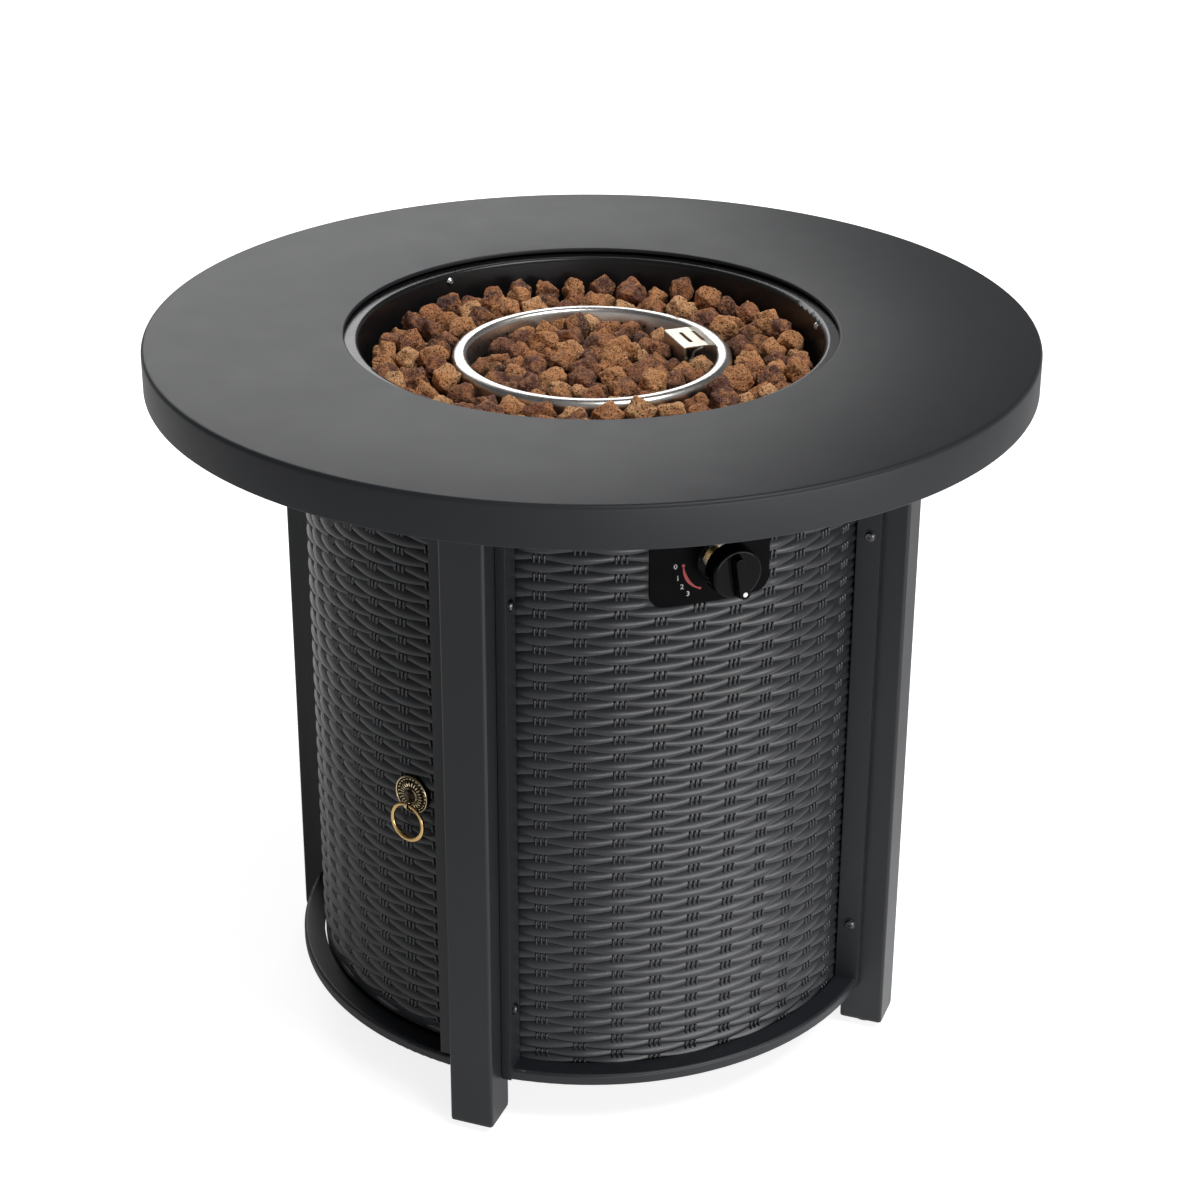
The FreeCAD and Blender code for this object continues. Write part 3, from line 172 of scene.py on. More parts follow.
def ramp(tree, factor, *stops):
    """A colour ramp with (place, colour) stops; a plain number stands for a grey."""
    node = tree.nodes.new("ShaderNodeValToRGB")
    elements = node.color_ramp.elements
    while len(elements) < len(stops):
        elements.new(0.5)
    for element, (place, colour) in zip(elements, stops):
        element.position = place
        element.color = (*colour, 1) if hasattr(colour, "__len__") else (colour, colour, colour, 1)
    tree.links.new(factor, node.inputs["Fac"])
    return node.outputs["Color"]


def bump(tree, height, strength, distance, under=None):
    node = tree.nodes.new("ShaderNodeBump")
    node.inputs["Strength"].default_value = strength
    node.inputs["Distance"].default_value = distance
    tree.links.new(height, node.inputs["Height"])
    if under is not None:
        tree.links.new(under, node.inputs["Normal"])
    return node.outputs["Normal"]


def soft_edges(tree, radius):
    """Normals that round a sharp edge off, as a coat of paint does."""
    node = tree.nodes.new("ShaderNodeBevel")
    node.samples = 4
    node.inputs["Radius"].default_value = radius
    return node.outputs["Normal"]


def mixed(tree, factor, low, high, blend="MIX"):
    """Two colours or sockets, mixed by a factor."""
    node = tree.nodes.new("ShaderNodeMix")
    node.data_type = "RGBA"
    node.blend_type = blend
    if hasattr(factor, "links"):
        tree.links.new(factor, node.inputs["Factor"])
    else:
        node.inputs["Factor"].default_value = factor
    for value, place in ((low, "A"), (high, "B")):
        socket = [s for s in node.inputs if s.name == place and s.type == "RGBA"][0]
        if hasattr(value, "links"):
            tree.links.new(value, socket)
        else:
            socket.default_value = (*value, 1)
    return [s for s in node.outputs if s.type == "RGBA"][0]


def scaled(tree, value, factor, offset=0.0):
    node = tree.nodes.new("ShaderNodeMath")
    node.operation = "MULTIPLY_ADD"
    tree.links.new(value, node.inputs[0])
    node.inputs[1].default_value = factor
    node.inputs[2].default_value = offset
    return node.outputs[0]


def paint(name, colour, rough, specular, grain=0.2, edge=0.7 * MM, mottle=0.12):
    """Powder coat: a fine orange-peel grain over a faintly uneven colour, rounded over the edges."""
    material, tree, shader = new_material(name)
    low, high = (tuple(c * (1 + way * mottle) for c in colour) for way in (-1, 1))
    cloud = noise_node(tree, 7.0, 4.0)
    tree.links.new(ramp(tree, cloud, (0.3, low), (0.7, high)), shader.inputs["Base Color"])
    smear = noise_node(tree, 34.0, 3.0)
    uneven = ramp(tree, smear, (0.25, rough - 0.015), (0.75, rough + 0.015))
    tree.links.new(uneven, shader.inputs["Roughness"])
    rounded = soft_edges(tree, edge) if edge else None
    tree.links.new(bump(tree, noise_node(tree, 1500.0, 2.0), grain, 0.0002, rounded), shader.inputs["Normal"])
    shader.inputs["Specular IOR Level"].default_value = specular
    return material


def metal(name, dark, light, rough, stretch=(1, 1, 1), scale=300.0, grain=0.2, edge=0.0):
    """Bare metal: streaks of brushing or a cast skin, by the stretch of its grain."""
    material, tree, shader = new_material(name)
    mapping = tree.nodes.new("ShaderNodeMapping")
    mapping.inputs["Scale"].default_value = stretch
    tree.links.new(object_coordinates(tree), mapping.inputs["Vector"])
    streaks = noise_node(tree, scale, 4.0, 0.6, mapping.outputs["Vector"])
    cloud = noise_node(tree, 40.0, 3.0)
    tree.links.new(ramp(tree, cloud, (0.3, dark), (0.7, light)), shader.inputs["Base Color"])
    tree.links.new(ramp(tree, streaks, (0.2, rough - 0.06), (0.8, rough + 0.08)), shader.inputs["Roughness"])
    rounded = soft_edges(tree, edge) if edge else None
    tree.links.new(bump(tree, streaks, grain, 0.0001, rounded), shader.inputs["Normal"])
    shader.inputs["Metallic"].default_value = 1.0
    return material


def plain(name, dark, light, rough, scale=60.0, grain=0.1, specular=0.5, edge=0.0):
    """Moulded or printed stuff with a soft mottle."""
    material, tree, shader = new_material(name)
    cloud = noise_node(tree, scale, 3.0)
    tree.links.new(ramp(tree, cloud, (0.3, dark), (0.7, light)), shader.inputs["Base Color"])
    tree.links.new(ramp(tree, cloud, (0.3, rough - 0.03), (0.7, rough + 0.03)), shader.inputs["Roughness"])
    rounded = soft_edges(tree, edge) if edge else None
    tree.links.new(bump(tree, noise_node(tree, 900.0), grain, 0.0001, rounded), shader.inputs["Normal"])
    shader.inputs["Specular IOR Level"].default_value = specular
    return material


def lava_stone():
    """Porous red-brown rock: each has its own tint and rusty patches, with painted shade in its hollows and
    pores, a painted highlight on its knobs, and painted shade that darkens it with depth, down into the gaps.
    """
    material, tree, shader = new_material("lava_stone")
    body = ramp(tree, attribute(tree, "tint"), (0.0, (0.11, 0.060, 0.052)), (0.3, (0.25, 0.105, 0.066)),
                (0.55, (0.46, 0.195, 0.090)), (0.8, (0.68, 0.330, 0.145)), (1.0, (0.86, 0.500, 0.250)))
    fine = noise_node(tree, 620.0, 4.0, 0.7)
    patch = noise_node(tree, 75.0, 3.0, 0.6)
    level = mixed(tree, 0.45, attribute(tree, "relief"), fine)
    # Painted shade in the pits: the body colour dimmed where the relief is low.
    low = mixed(tree, 1.0, body, (0.26, 0.22, 0.24), "MULTIPLY")
    rusty = mixed(tree, ramp(tree, patch, (0.45, 0.0), (0.62, 0.7)), body, (0.60, 0.255, 0.095))
    # Painted highlight on the knobs: a pale orange where the relief is high.
    high = mixed(tree, 0.5, rusty, (0.95, 0.64, 0.36))
    shaded = mixed(tree, ramp(tree, level, (0.34, 0.0), (0.5, 1.0)), low, rusty)
    colour = mixed(tree, ramp(tree, level, (0.52, 0.0), (0.68, 1.0)), shaded, high)
    # Painted shade in the pores and holes: near-black where the cells are small.
    pores = ramp(tree, cells(tree, 640.0), (0.14, 0.0), (0.36, 1.0))
    holes = ramp(tree, cells(tree, 300.0), (0.10, 0.0), (0.26, 1.0))
    pore_shaded_colour = mixed(tree, mixed(tree, 1.0, pores, holes, "MULTIPLY"), (0.022, 0.010, 0.008), colour)
    # Painted shade: the colour darkens to a tenth down in the gaps between rocks, by each point's height.
    painted_depth_shade = ramp(tree, attribute(tree, "depth"), (0.0, 0.10), (1.0, 1.0))
    tree.links.new(mixed(tree, 1.0, pore_shaded_colour, painted_depth_shade, "MULTIPLY"), shader.inputs["Base Color"])
    shader.inputs["Roughness"].default_value = 0.85
    shader.inputs["Specular IOR Level"].default_value = 0.3
    first = bump(tree, fine, 0.9, 0.0016)
    second = bump(tree, pores, 0.8, 0.0008, first)
    tree.links.new(bump(tree, holes, 0.9, 0.0014, second), shader.inputs["Normal"])
    return material


def antique_brass(name, dark, bright, rubbed):
    """Brass browned in its hollows and rubbed bright on its high places."""
    material, tree, shader = new_material(name)
    stain = noise_node(tree, 190.0, 4.0)
    worn = mixed(tree, 0.5, attribute(tree, "relief"), stain)
    share = ramp(tree, worn, (rubbed - 0.1, 0.0), (rubbed + 0.1, 1.0))
    tree.links.new(mixed(tree, share, dark, bright), shader.inputs["Base Color"])
    tree.links.new(ramp(tree, share, (0.0, 0.40), (1.0, 0.20)), shader.inputs["Roughness"])
    tree.links.new(bump(tree, noise_node(tree, 900.0), 0.25, 0.0001), shader.inputs["Normal"])
    shader.inputs["Metallic"].default_value = 1.0
    return material


def print_ink(name, colour):
    return plain(name, tuple(0.92 * c for c in colour), colour, 0.45, 200.0, 0.02)


def make_materials():
    made = [
        paint("top_paint", (0.0165, 0.0175, 0.0200), 0.44, 0.20, 0.25, 0.0, 0.04),
        paint("frame_paint", (0.0115, 0.0125, 0.0150), 0.40, 0.32),
        paint("weave_paint", (0.0110, 0.0118, 0.0142), 0.33, 0.46, 0.08, 0.0),
        paint("under_paint", (0.010, 0.010, 0.011), 0.6, 0.3),
        paint("bowl_enamel", (0.007, 0.007, 0.008), 0.28, 0.3, 0.06, 0.4 * MM),
        metal("burner_steel", (0.50, 0.48, 0.46), (0.66, 0.64, 0.61), 0.29, (1, 1, 9), 160.0, 0.10),
        metal("hood_steel", (0.52, 0.47, 0.40), (0.66, 0.61, 0.53), 0.34, (1, 12, 1), 300.0, 0.2, 0.3 * MM),
        metal("screw_black", (0.05, 0.05, 0.055), (0.09, 0.09, 0.095), 0.28, edge=0.2 * MM),
        metal("screw_steel", (0.55, 0.55, 0.56), (0.7, 0.7, 0.7), 0.28),
        lava_stone(),
        plain("foot_plastic", (0.012, 0.012, 0.012), (0.02, 0.02, 0.02), 0.5),
        plain("plate_black", (0.0018, 0.0018, 0.0023), (0.0024, 0.0024, 0.0030), 0.30, 40.0, 0.04,
              specular=0.03, edge=0.5 * MM),
        plain("knob_plastic", (0.0014, 0.0014, 0.0014), (0.0020, 0.0020, 0.0020), 0.14, 40.0, 0.02,
              specular=0.10, edge=0.9 * MM),
        metal("brass", (0.62, 0.40, 0.14), (0.80, 0.56, 0.23), 0.22),
        antique_brass("antique_brass", (0.022, 0.016, 0.010), (0.56, 0.46, 0.29), 0.56),
        antique_brass("rubbed_brass", (0.115, 0.066, 0.022), (0.62, 0.41, 0.17), 0.45),
        metal("valve_metal", (0.42, 0.42, 0.43), (0.55, 0.55, 0.56), 0.42, scale=120.0, grain=0.5),
        plain("ceramic", (0.72, 0.70, 0.65), (0.82, 0.80, 0.75), 0.2),
        metal("sensor_steel", (0.4, 0.37, 0.33), (0.52, 0.49, 0.45), 0.35),
        plain("lead_rubber", (0.32, 0.035, 0.02), (0.42, 0.05, 0.03), 0.55),
        metal("lead_copper", (0.48, 0.24, 0.14), (0.62, 0.34, 0.2), 0.35),
        plain("magnet_plastic", (0.02, 0.02, 0.02), (0.035, 0.035, 0.035), 0.5),
        print_ink("ink_white", (0.42, 0.42, 0.41)),
        print_ink("ink_red", (0.30, 0.016, 0.014)),
        plain("dot_white", (0.82, 0.82, 0.80), (0.88, 0.88, 0.86), 0.35),
    ]
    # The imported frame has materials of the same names, so Blender adds a number after a dot.
    return {material.name.split(".")[0]: material for material in made}


def dress_nodes(materials):
    """Gives each CAD node the material of its slot in the record."""
    for part in frame["record"]["subparts"]:
        node = NODES[part["node"]]
        node.data.materials.clear()
        node.data.materials.append(materials[part["material_slot"]])


# Pieces made here

def mesh_piece(name, points, faces, material, smooth=True):
    mesh = bpy.data.meshes.new(name)
    mesh.from_pydata([tuple(p) for p in points], [], faces)
    mesh.update()
    mesh.polygons.foreach_set("use_smooth", [smooth] * len(mesh.polygons))
    mesh.materials.append(material)
    piece = bpy.data.objects.new(name, mesh)
    bpy.context.scene.collection.objects.link(piece)
    return piece


def point_values(piece, name, values):
    """Stores one number per point, for the material to read."""
    data = piece.data.attributes.new(name, "FLOAT", "POINT")
    data.data.foreach_set("value", np.asarray(values, dtype=np.float32))


def tidy_mesh(mesh, sharp=None):
    """Drops unused points, turns every normal outward and keeps creases above an angle crisp."""
    work = bmesh.new()
    work.from_mesh(mesh)
    bmesh.ops.delete(work, geom=[v for v in work.verts if not v.link_faces], context="VERTS")
    bmesh.ops.recalc_face_normals(work, faces=work.faces)
    if sharp is not None:
        for edge in work.edges:
            faces = edge.link_faces
            edge.smooth = len(faces) == 2 and faces[0].normal.angle(faces[1].normal, 0.0) < sharp
    work.to_mesh(mesh)
    work.free()


def grid_faces(rows, columns, start=0, closed_rows=False, closed_columns=False):
    """Four-sided faces over a grid of points numbered row by row."""
    faces = []
    for i in range(rows if closed_rows else rows - 1):
        for j in range(columns if closed_columns else columns - 1):
            a, b = i * columns, (i + 1) % rows * columns
            k = (j + 1) % columns
            faces.append((start + a + j, start + b + j, start + b + k, start + a + k))
    return faces


def arc(centre, radius, start, end, steps=5):
    """Points on a round corner of a profile; angles in degrees from the radial direction."""
    turns = (math.radians(start + (end - start) * k / steps) for k in range(steps + 1))
    return [(centre[0] + radius * math.cos(t), centre[1] + radius * math.sin(t)) for t in turns]


def tabletop_skin(materials):
    """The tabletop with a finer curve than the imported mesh: rounded rim, apron, turned-in foot, lip."""
    top, low, inside, small = TABLE_TOP, TABLE_LOW, TABLE_R - SHEET, SMALL_ROUND
    foot = TABLE_R - FOOT_WIDTH
    profile = [(HOLE_R, top - LIP_DROP)] + arc((HOLE_R + small, top - small), small, 180, 90)
    profile += arc((TABLE_R - RIM_ROUND, top - RIM_ROUND), RIM_ROUND, 90, 0, 8)
    profile += arc((TABLE_R - small, low + small), small, 0, -90)
    profile += [(foot, low), (foot, low + SHEET), (inside, low + SHEET)]
    profile += arc((TABLE_R - RIM_ROUND, top - RIM_ROUND), RIM_ROUND - SHEET, 0, 90)
    profile += [(HOLE_R + SHEET, top - SHEET), (HOLE_R + SHEET, top - LIP_DROP)]
    turns = (2 * math.pi * k / TOP_SEGMENTS for k in range(TOP_SEGMENTS))
    points = [on_cylinder(r, turn, z) for turn in turns for r, z in profile]
    faces = grid_faces(TOP_SEGMENTS, len(profile), 0, True, True)
    piece = mesh_piece("tabletop_skin", points, faces, materials["top_paint"])
    tidy_mesh(piece.data, TOP_CREASE)
    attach(piece, "frame")
    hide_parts("tabletop")


# Woven panels: a pressed sheet whose strands pass before and behind upright stakes of three bars

STRAND_SAMPLES = (0.0, 0.02, 0.06, 0.12, 0.2, 0.3, 0.42, 0.56, 0.7, 0.84, 0.94, 1.0)
COLUMNS_PER_STAKE = 9


def behind_plate(angle, z, plate):
    """Whether a place on the sheet lies under the control plate, where the sheet is flat."""
    return plate is not None and plate[0] < angle < plate[1] and plate[2] < z < plate[3]


def strand_place(u, n):
    """How far strand n stands out at stake place u: 1 before a stake, -1 behind it."""
    return math.cos(math.pi * (u - n))


def crease_height(u, n):
    """Height of the crease under strand n, which is widest where it passes before a stake."""
    return ROW_ZERO + ROW_STEP * n - SWELL * strand_place(u, n)


def strand_rise(t):
    """Share of its full height at t up a strand: a sharp fold below, a long slope facing up above."""
    if t < STRAND_PEAK:
        return max(0.0, 1 - min(1.0, (STRAND_PEAK - t) / STRAND_PEAK) ** FOLD_POWER) ** 0.5
    return math.cos(math.pi / 2 * min(1.0, (t - STRAND_PEAK) / (1 - STRAND_PEAK)))


def strand_profile(n, u, bottom, top):
    """(radius, height) points of strand n between two heights at stake place u."""
    crest = DIVE_R + (CREST_R - DIVE_R) * ((1 + strand_place(u, n)) / 2) ** STRAND_DWELL
    under, over = crease_height(u, n), crease_height(u, n + 1)
    points = []
    for share in STRAND_SAMPLES:
        z = bottom + share * (top - bottom)
        t = (z - under) / (over - under)
        points.append((CREASE_R + (crest - CREASE_R) * strand_rise(t), z))
    return points


def in_hole(x, z, hole, spare=0.0):
    """Whether a place lies in the round hole (axis, radius) for the knob's stem."""
    return hole is not None and math.hypot(x - hole[0].x, z - hole[0].z) < hole[1] + spare


def woven_sheet(azimuth, edge, low, high, hole, plate):
    """Points and faces of the closed sheet; the cells that touch the hole are left out."""
    columns = int(round(2 * edge / STAKE_STEP * COLUMNS_PER_STAKE))
    angles = [-edge + 2 * edge * i / columns for i in range(columns + 1)]
    spare = SWELL + 0.5 * MM
    first, last = (int((z - ROW_ZERO) // ROW_STEP) for z in (low + spare, high - spare))
    rows = range(first, last + 1)
    samples = len(STRAND_SAMPLES)
    points, faces = [], []
    front, back = {}, {}
    for i, angle in enumerate(angles):
        u = angle / STAKE_STEP - 0.5
        creases = {n: crease_height(u, n) for n in rows}
        creases[first], creases[last + 1] = low, high
        for n in rows:
            profile = strand_profile(n, u, creases[n], creases[n + 1])
            front[i, n] = len(points)
            points += [on_cylinder(CREST_R if behind_plate(angle, z, plate) else radius, azimuth + angle, z)
                       for radius, z in profile]
        for n, z in creases.items():
            back[i, n] = len(points)
            radius = FLAT_BACK_R if behind_plate(angle, z, plate) else BACK_R
            points.append(on_cylinder(radius, azimuth + angle, z))

    def present(i, n):
        if not (0 <= i < columns and first <= n <= last):
            return False
        corners = (points[front[j, n] + k] for j in (i, i + 1) for k in (0, samples - 1))
        return not any(in_hole(corner.x, corner.z, hole) for corner in corners)

    for i in range(columns):
        for n in rows:
            if not present(i, n):
                continue
            a, b = front[i, n], front[i + 1, n]
            for k in range(samples - 1):
                faces.append((a + k, b + k, b + k + 1, a + k + 1))
            faces.append((back[i, n], back[i, n + 1], back[i + 1, n + 1], back[i + 1, n]))
            if present(i, n + 1):
                faces.append((a + samples - 1, b + samples - 1, front[i + 1, n + 1], front[i, n + 1]))
            else:
                faces.append((a + samples - 1, b + samples - 1, back[i + 1, n + 1], back[i, n + 1]))
            if not present(i, n - 1):
                faces.append((a, back[i, n], back[i + 1, n], b))
            for here, other in ((i, i - 1), (i + 1, i + 1)):
                if not present(other, n):
                    rim = [front[here, n] + k for k in range(samples)]
                    cap = rim + [back[here, n + 1], back[here, n]]
                    faces.append(tuple(cap if here == i else cap[::-1]))
    return points, faces


def bar_template(across=7, along=9):
    """A rounded bar, closed behind: (sideways, outward, upward) shares of its half size."""
    shape = []
    for k in range(along):
        v = -BAR_END + 2 * BAR_END * k / (along - 1)
        size = (1 - abs(v) ** 3) ** 0.55
        for m in range(across):
            turn = math.pi * (m / (across - 1) - 0.5)
            shape.append((size * math.sin(turn), size * math.cos(turn) ** 0.8, v))
    faces = grid_faces(along, across, 0, False, True)
    faces += [tuple(range(across)), tuple(range(along * across - 1, (along - 1) * across - 1, -1))]
    return shape, faces


def stake_bars(azimuth, edge, low, high, hole, plate, points, faces):
    """Three bars before each strand that passes behind a stake; their ends curve in under its neighbours."""
    shape, shape_faces = bar_template()
    reach = int(edge / STAKE_STEP) + 1
    stakes = [j for j in range(-reach, reach) if abs((j + 0.5) * STAKE_STEP) < edge - STAKE_STEP / 4]
    first, last = (int((z - ROW_ZERO) // ROW_STEP) for z in (low, high))
    for j in stakes:
        for n in range(first, last + 1):
            middle = ROW_ZERO + ROW_STEP * n + BAR_LIFT
            if (j - n) % 2 == 0 or not low + ROW_STEP / 2 < middle < high - ROW_STEP / 2:
                continue
            for side in (-1, 0, 1):
                place = azimuth + (j + 0.5) * STAKE_STEP + side * BAR_PITCH / CREST_R
                at = on_cylinder(CREST_R, place, middle)
                if in_hole(at.x, at.z, hole, BAR_HALF) or behind_plate(place - azimuth, middle, plate):
                    continue
                start = len(points)
                points += [on_cylinder(BAR_ROOT_R + (BAR_CREST_R - BAR_ROOT_R) * out,
                                       place + across * BAR_HALF / CREST_R, middle + up * BAR_REACH)
                           for across, out, up in shape]
                faces += [tuple(start + k for k in face) for face in shape_faces]


def weave(name, azimuth, edge, low, high, node, body, material, hole=None, plate=None):
    """One woven panel in place of its CAD sheet."""
    points, faces = woven_sheet(azimuth, edge, low, high, hole, plate)
    stake_bars(azimuth, edge, low, high, hole, plate, points, faces)
    piece = mesh_piece(name, points, faces, material)
    tidy_mesh(piece.data, WEAVE_CREASE)
    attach(piece, body)
    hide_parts(node)


# Lava rock

HIDDEN_TOP = 600 * MM
CLEARANCE = 0.3 * MM
GOLDEN_ANGLE = math.radians(137.508)
GOLDEN_SHARE = 0.618034
TINT_SPREAD = 0.35
# Heights between which the rocks' painted shade fades out, darkest below.
DARK_BELOW, BRIGHT_ABOVE = 597 * MM, 611 * MM
INNER_BED, OUTER_BED = (0.0, 97 * MM), (130 * MM, 186 * MM)

# (least, spread) of what each rock draws for itself
ROUNDING, PUFF, COARSENESS = (9.0, 14.0), (1.12, 0.14), (0.55, 0.7)
# (rate, size) of the noise on a rock, as shares of its half width
LUMP, KNOB, GRAIN = (1.5, 0.15), (3.6, 0.085), (8.5, 0.055)
PIT_RATE, PIT_DEPTH, PIT_WIDTH = 4.6, 0.11, 0.36

GAP_STONE_Z, GAP_STONE_RISE, GAP_STONE_DEPTH = 600 * MM, 3.0 * MM, 8 * MM
GAP_STONE_HALF, GAP_STONE_SPREAD = 9.4, 3.0
GAP_STONE_FACES = 14
GAP_SHARE = 0.92
GAP_TRIES = 900
HOOD_AZIMUTH = math.radians(86)
HOOD_IN, HOOD_OUT, HOOD_HALF = 75.8 * MM, 106 * MM, 23.5 * MM


def rock_parts(node):
    """Middle, face planes and top of each loose solid of a node."""
    work = bmesh.new()
    work.from_mesh(node.data)
    bmesh.ops.remove_doubles(work, verts=work.verts, dist=1e-6)
    work.verts.ensure_lookup_table()
    seen = set()
    rocks = []
    for start in work.verts:
        if start.index in seen:
            continue
        seen.add(start.index)
        group, stack = [], [start]
        while stack:
            vert = stack.pop()
            group.append(vert)
            for edge in vert.link_edges:
                other = edge.other_vert(vert)
                if other.index not in seen:
                    seen.add(other.index)
                    stack.append(other)
        middle = sum((v.co for v in group), Vector()) / len(group)
        planes = []
        for face in {f for v in group for f in v.link_faces}:
            offset = face.normal.dot(face.verts[0].co - middle)
            planes.append((face.normal.copy(), offset) if offset > 0 else (-face.normal, -offset))
        rocks.append((middle.copy(), planes, max(v.co.z for v in group)))
    work.free()
    return rocks


def sphere_mesh(level):
    work = bmesh.new()
    bmesh.ops.create_icosphere(work, subdivisions=level, radius=1.0)
    directions = np.array([v.co[:] for v in work.verts])
    triangles = [tuple(v.index for v in f.verts) for f in work.faces]
    work.free()
    return directions, triangles


def rock_points(middle, planes, directions, seed):
    """A rounded lump over the planes of one faceted rock, with knobs and pits, and its relief."""
    shift = Vector((seed * 3.1, seed * 7.7, seed * 1.3))
    own = [0.5 + 0.5 * noise.noise(shift * 0.37 + Vector((k * 9.7, 0, 0))) for k in range(3)]
    drawn = zip((ROUNDING, PUFF, COARSENESS), own)
    rounding, puff, coarse = (least + spread * share for (least, spread), share in drawn)
    normals = np.array([n[:] for n, _ in planes])
    offsets = np.array([d for _, d in planes])
    facing = np.maximum(directions @ normals.T, 0.0) / offsets
    radii = (facing ** rounding).sum(axis=1) ** (-1.0 / rounding) * puff
    points, relief = [], []
    for direction, radius in zip(directions, radii):
        d = Vector(direction)
        lump, knob, grain = (noise.noise(d * rate + shift) * size for rate, size in (LUMP, KNOB, GRAIN))
        knob, grain = knob * coarse, grain * coarse
        pits = noise.voronoi(d * PIT_RATE + shift)[0][0]
        pit = -PIT_DEPTH * coarse * max(0.0, PIT_WIDTH - pits) / PIT_WIDTH
        points.append(middle + d * radius * (1 + lump + knob + grain + pit))
        # Relief: high on knobs, low in pits; the stone paints its highlight and shade by it.
        relief.append(0.5 + 3.2 * (grain + 0.5 * knob) + 2.6 * pit)
    return points, relief


def kept_in_outer_bed(point):
    """Moves a point of a rock off the bowl's wall, its floor and the burner's outer wall."""
    reach = math.hypot(point.x, point.y)
    share = (point.z - BOWL_FLOOR) / (BOWL_TOP - BOWL_FLOOR)
    wall = BOWL_FOOT_R + (BOWL_TOP_R - BOWL_FOOT_R) * share - CLEARANCE
    limit = min(reach, wall)
    if point.z < BURNER_CREST + CLEARANCE:
        limit = max(limit, BURNER_OUT_R + CLEARANCE)
    return Vector((point.x * limit / reach, point.y * limit / reach, max(point.z, BOWL_FLOOR)))


def kept_in_inner_bed(point):
    """Moves a point of a rock off the burner's dished inner wall and the bowl's floor."""
    reach = math.hypot(point.x, point.y)
    share = (point.z - BOWL_FLOOR) / (BURNER_CREST - BOWL_FLOOR)
    limit = reach
    if share < 1.0:
        limit = min(reach, BURNER_FOOT_R + (BURNER_IN_R - BURNER_FOOT_R) * share - CLEARANCE)
    scale = limit / reach if reach else 1.0
    return Vector((point.x * scale, point.y * scale, max(point.z, BOWL_FLOOR)))


def gap_stones(bed, inner, outer):
    """Small stones for the gaps that the bed leaves, tried at even steps of a spiral."""
    stones = []
    reach = [(middle, sum(offset for _, offset in planes) / len(planes)) for middle, planes, _ in bed]
    reach = [(middle, half) for middle, half in reach if middle.z > GAP_STONE_Z - GAP_STONE_DEPTH]
    for k in range(GAP_TRIES):
        half = (GAP_STONE_HALF + GAP_STONE_SPREAD * wander(k * 0.73, 4.1, 1.7)) * MM
        radius = math.sqrt(inner ** 2 + (outer ** 2 - inner ** 2) * (k + 0.5) / GAP_TRIES)
        azimuth = k * GOLDEN_ANGLE
        height = GAP_STONE_Z + GAP_STONE_RISE * wander(k * 0.41, 8.3, 0.6)
        middle = on_cylinder(radius, azimuth, height)
        across = radius * math.sin(azimuth - HOOD_AZIMUTH)
        along = radius * math.cos(azimuth - HOOD_AZIMUTH)
        if abs(across) < HOOD_HALF + half and HOOD_IN - half < along < HOOD_OUT + half:
            continue
        if any((middle.xy - other.xy).length < GAP_SHARE * (half + size) for other, size in reach):
            continue
        reach.append((middle, half))
        planes = []
        for m in range(GAP_STONE_FACES):
            level = 1 - 2 * (m + 0.5) / GAP_STONE_FACES
            turn = m * GOLDEN_ANGLE + k
            flat = math.sqrt(1 - level ** 2)
            offset = half * (0.92 + 0.3 * wander(k * 1.9, m * 2.3, 0.8))
            planes.append((Vector((flat * math.cos(turn), flat * math.sin(turn), level)), offset))
        stones.append((middle, planes, middle.z + half))
    return stones


def rocks(name, node, material, spheres, keep, inner, outer):
    """The rocks of one bed over their CAD solids, with small stones in the gaps."""
    points, faces, tints, reliefs, painted_shade_depths = [], [], [], [], []
    bed = rock_parts(NODES[node])
    bed += gap_stones(bed, inner, outer)
    for count, (middle, planes, top) in enumerate(bed):
        directions, triangles = spheres[0 if top < HIDDEN_TOP else 1]
        start = len(points)
        rock, relief = rock_points(middle, planes, directions, count + 1)
        points += [keep(point) for point in rock]
        reliefs += relief
        # Heights for the painted shade that darkens the rocks down in the gaps.
        levels = ((point.z - DARK_BELOW) / (BRIGHT_ABOVE - DARK_BELOW) for point in rock)
        painted_shade_depths += [min(1.0, max(0.0, level)) for level in levels]
        faces += [tuple(start + i for i in t) for t in triangles]
        shade = (count * GOLDEN_SHARE + TINT_SPREAD * wander(count * 5.37, 2.1, 0.4)) % 1.0
        tints += [shade] * len(directions)
    piece = mesh_piece(name, points, faces, material)
    point_values(piece, "tint", tints)
    point_values(piece, "relief", reliefs)
    point_values(piece, "depth", painted_shade_depths)
    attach(piece, "frame")
    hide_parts(node)


# Ring pull: a beaded rosette with a fan of flutes, its eye, and a ring that thickens towards its foot

# Radius and outward place in mm, and how worn the brass is there
ROSETTE_PROFILE = (
    (17.5, -1.9, 0.3), (17.5, 1.2, 0.5), (17.2, 2.1, 0.9), (16.6, 2.6, 1.0), (16.0, 2.3, 0.8),
    (15.6, 1.5, 0.2), (15.2, 0.9, 0.0), (13.3, 0.8, 0.0), (12.9, 1.4, 0.3), (12.4, 1.7, 0.4),
    (11.9, 1.5, 0.1), (9.5, 2.0, 0.1), (7.4, 2.9, 0.2), (7.0, 3.5, 0.5), (6.3, 3.9, 0.6),
    (5.6, 3.7, 0.2), (5.0, 4.4, 0.3), (3.6, 5.2, 0.35), (1.8, 5.7, 0.4), (0.3, 5.8, 0.4))
ROSETTE_SIDES = 72
ROSETTE_CREASE = math.radians(60)
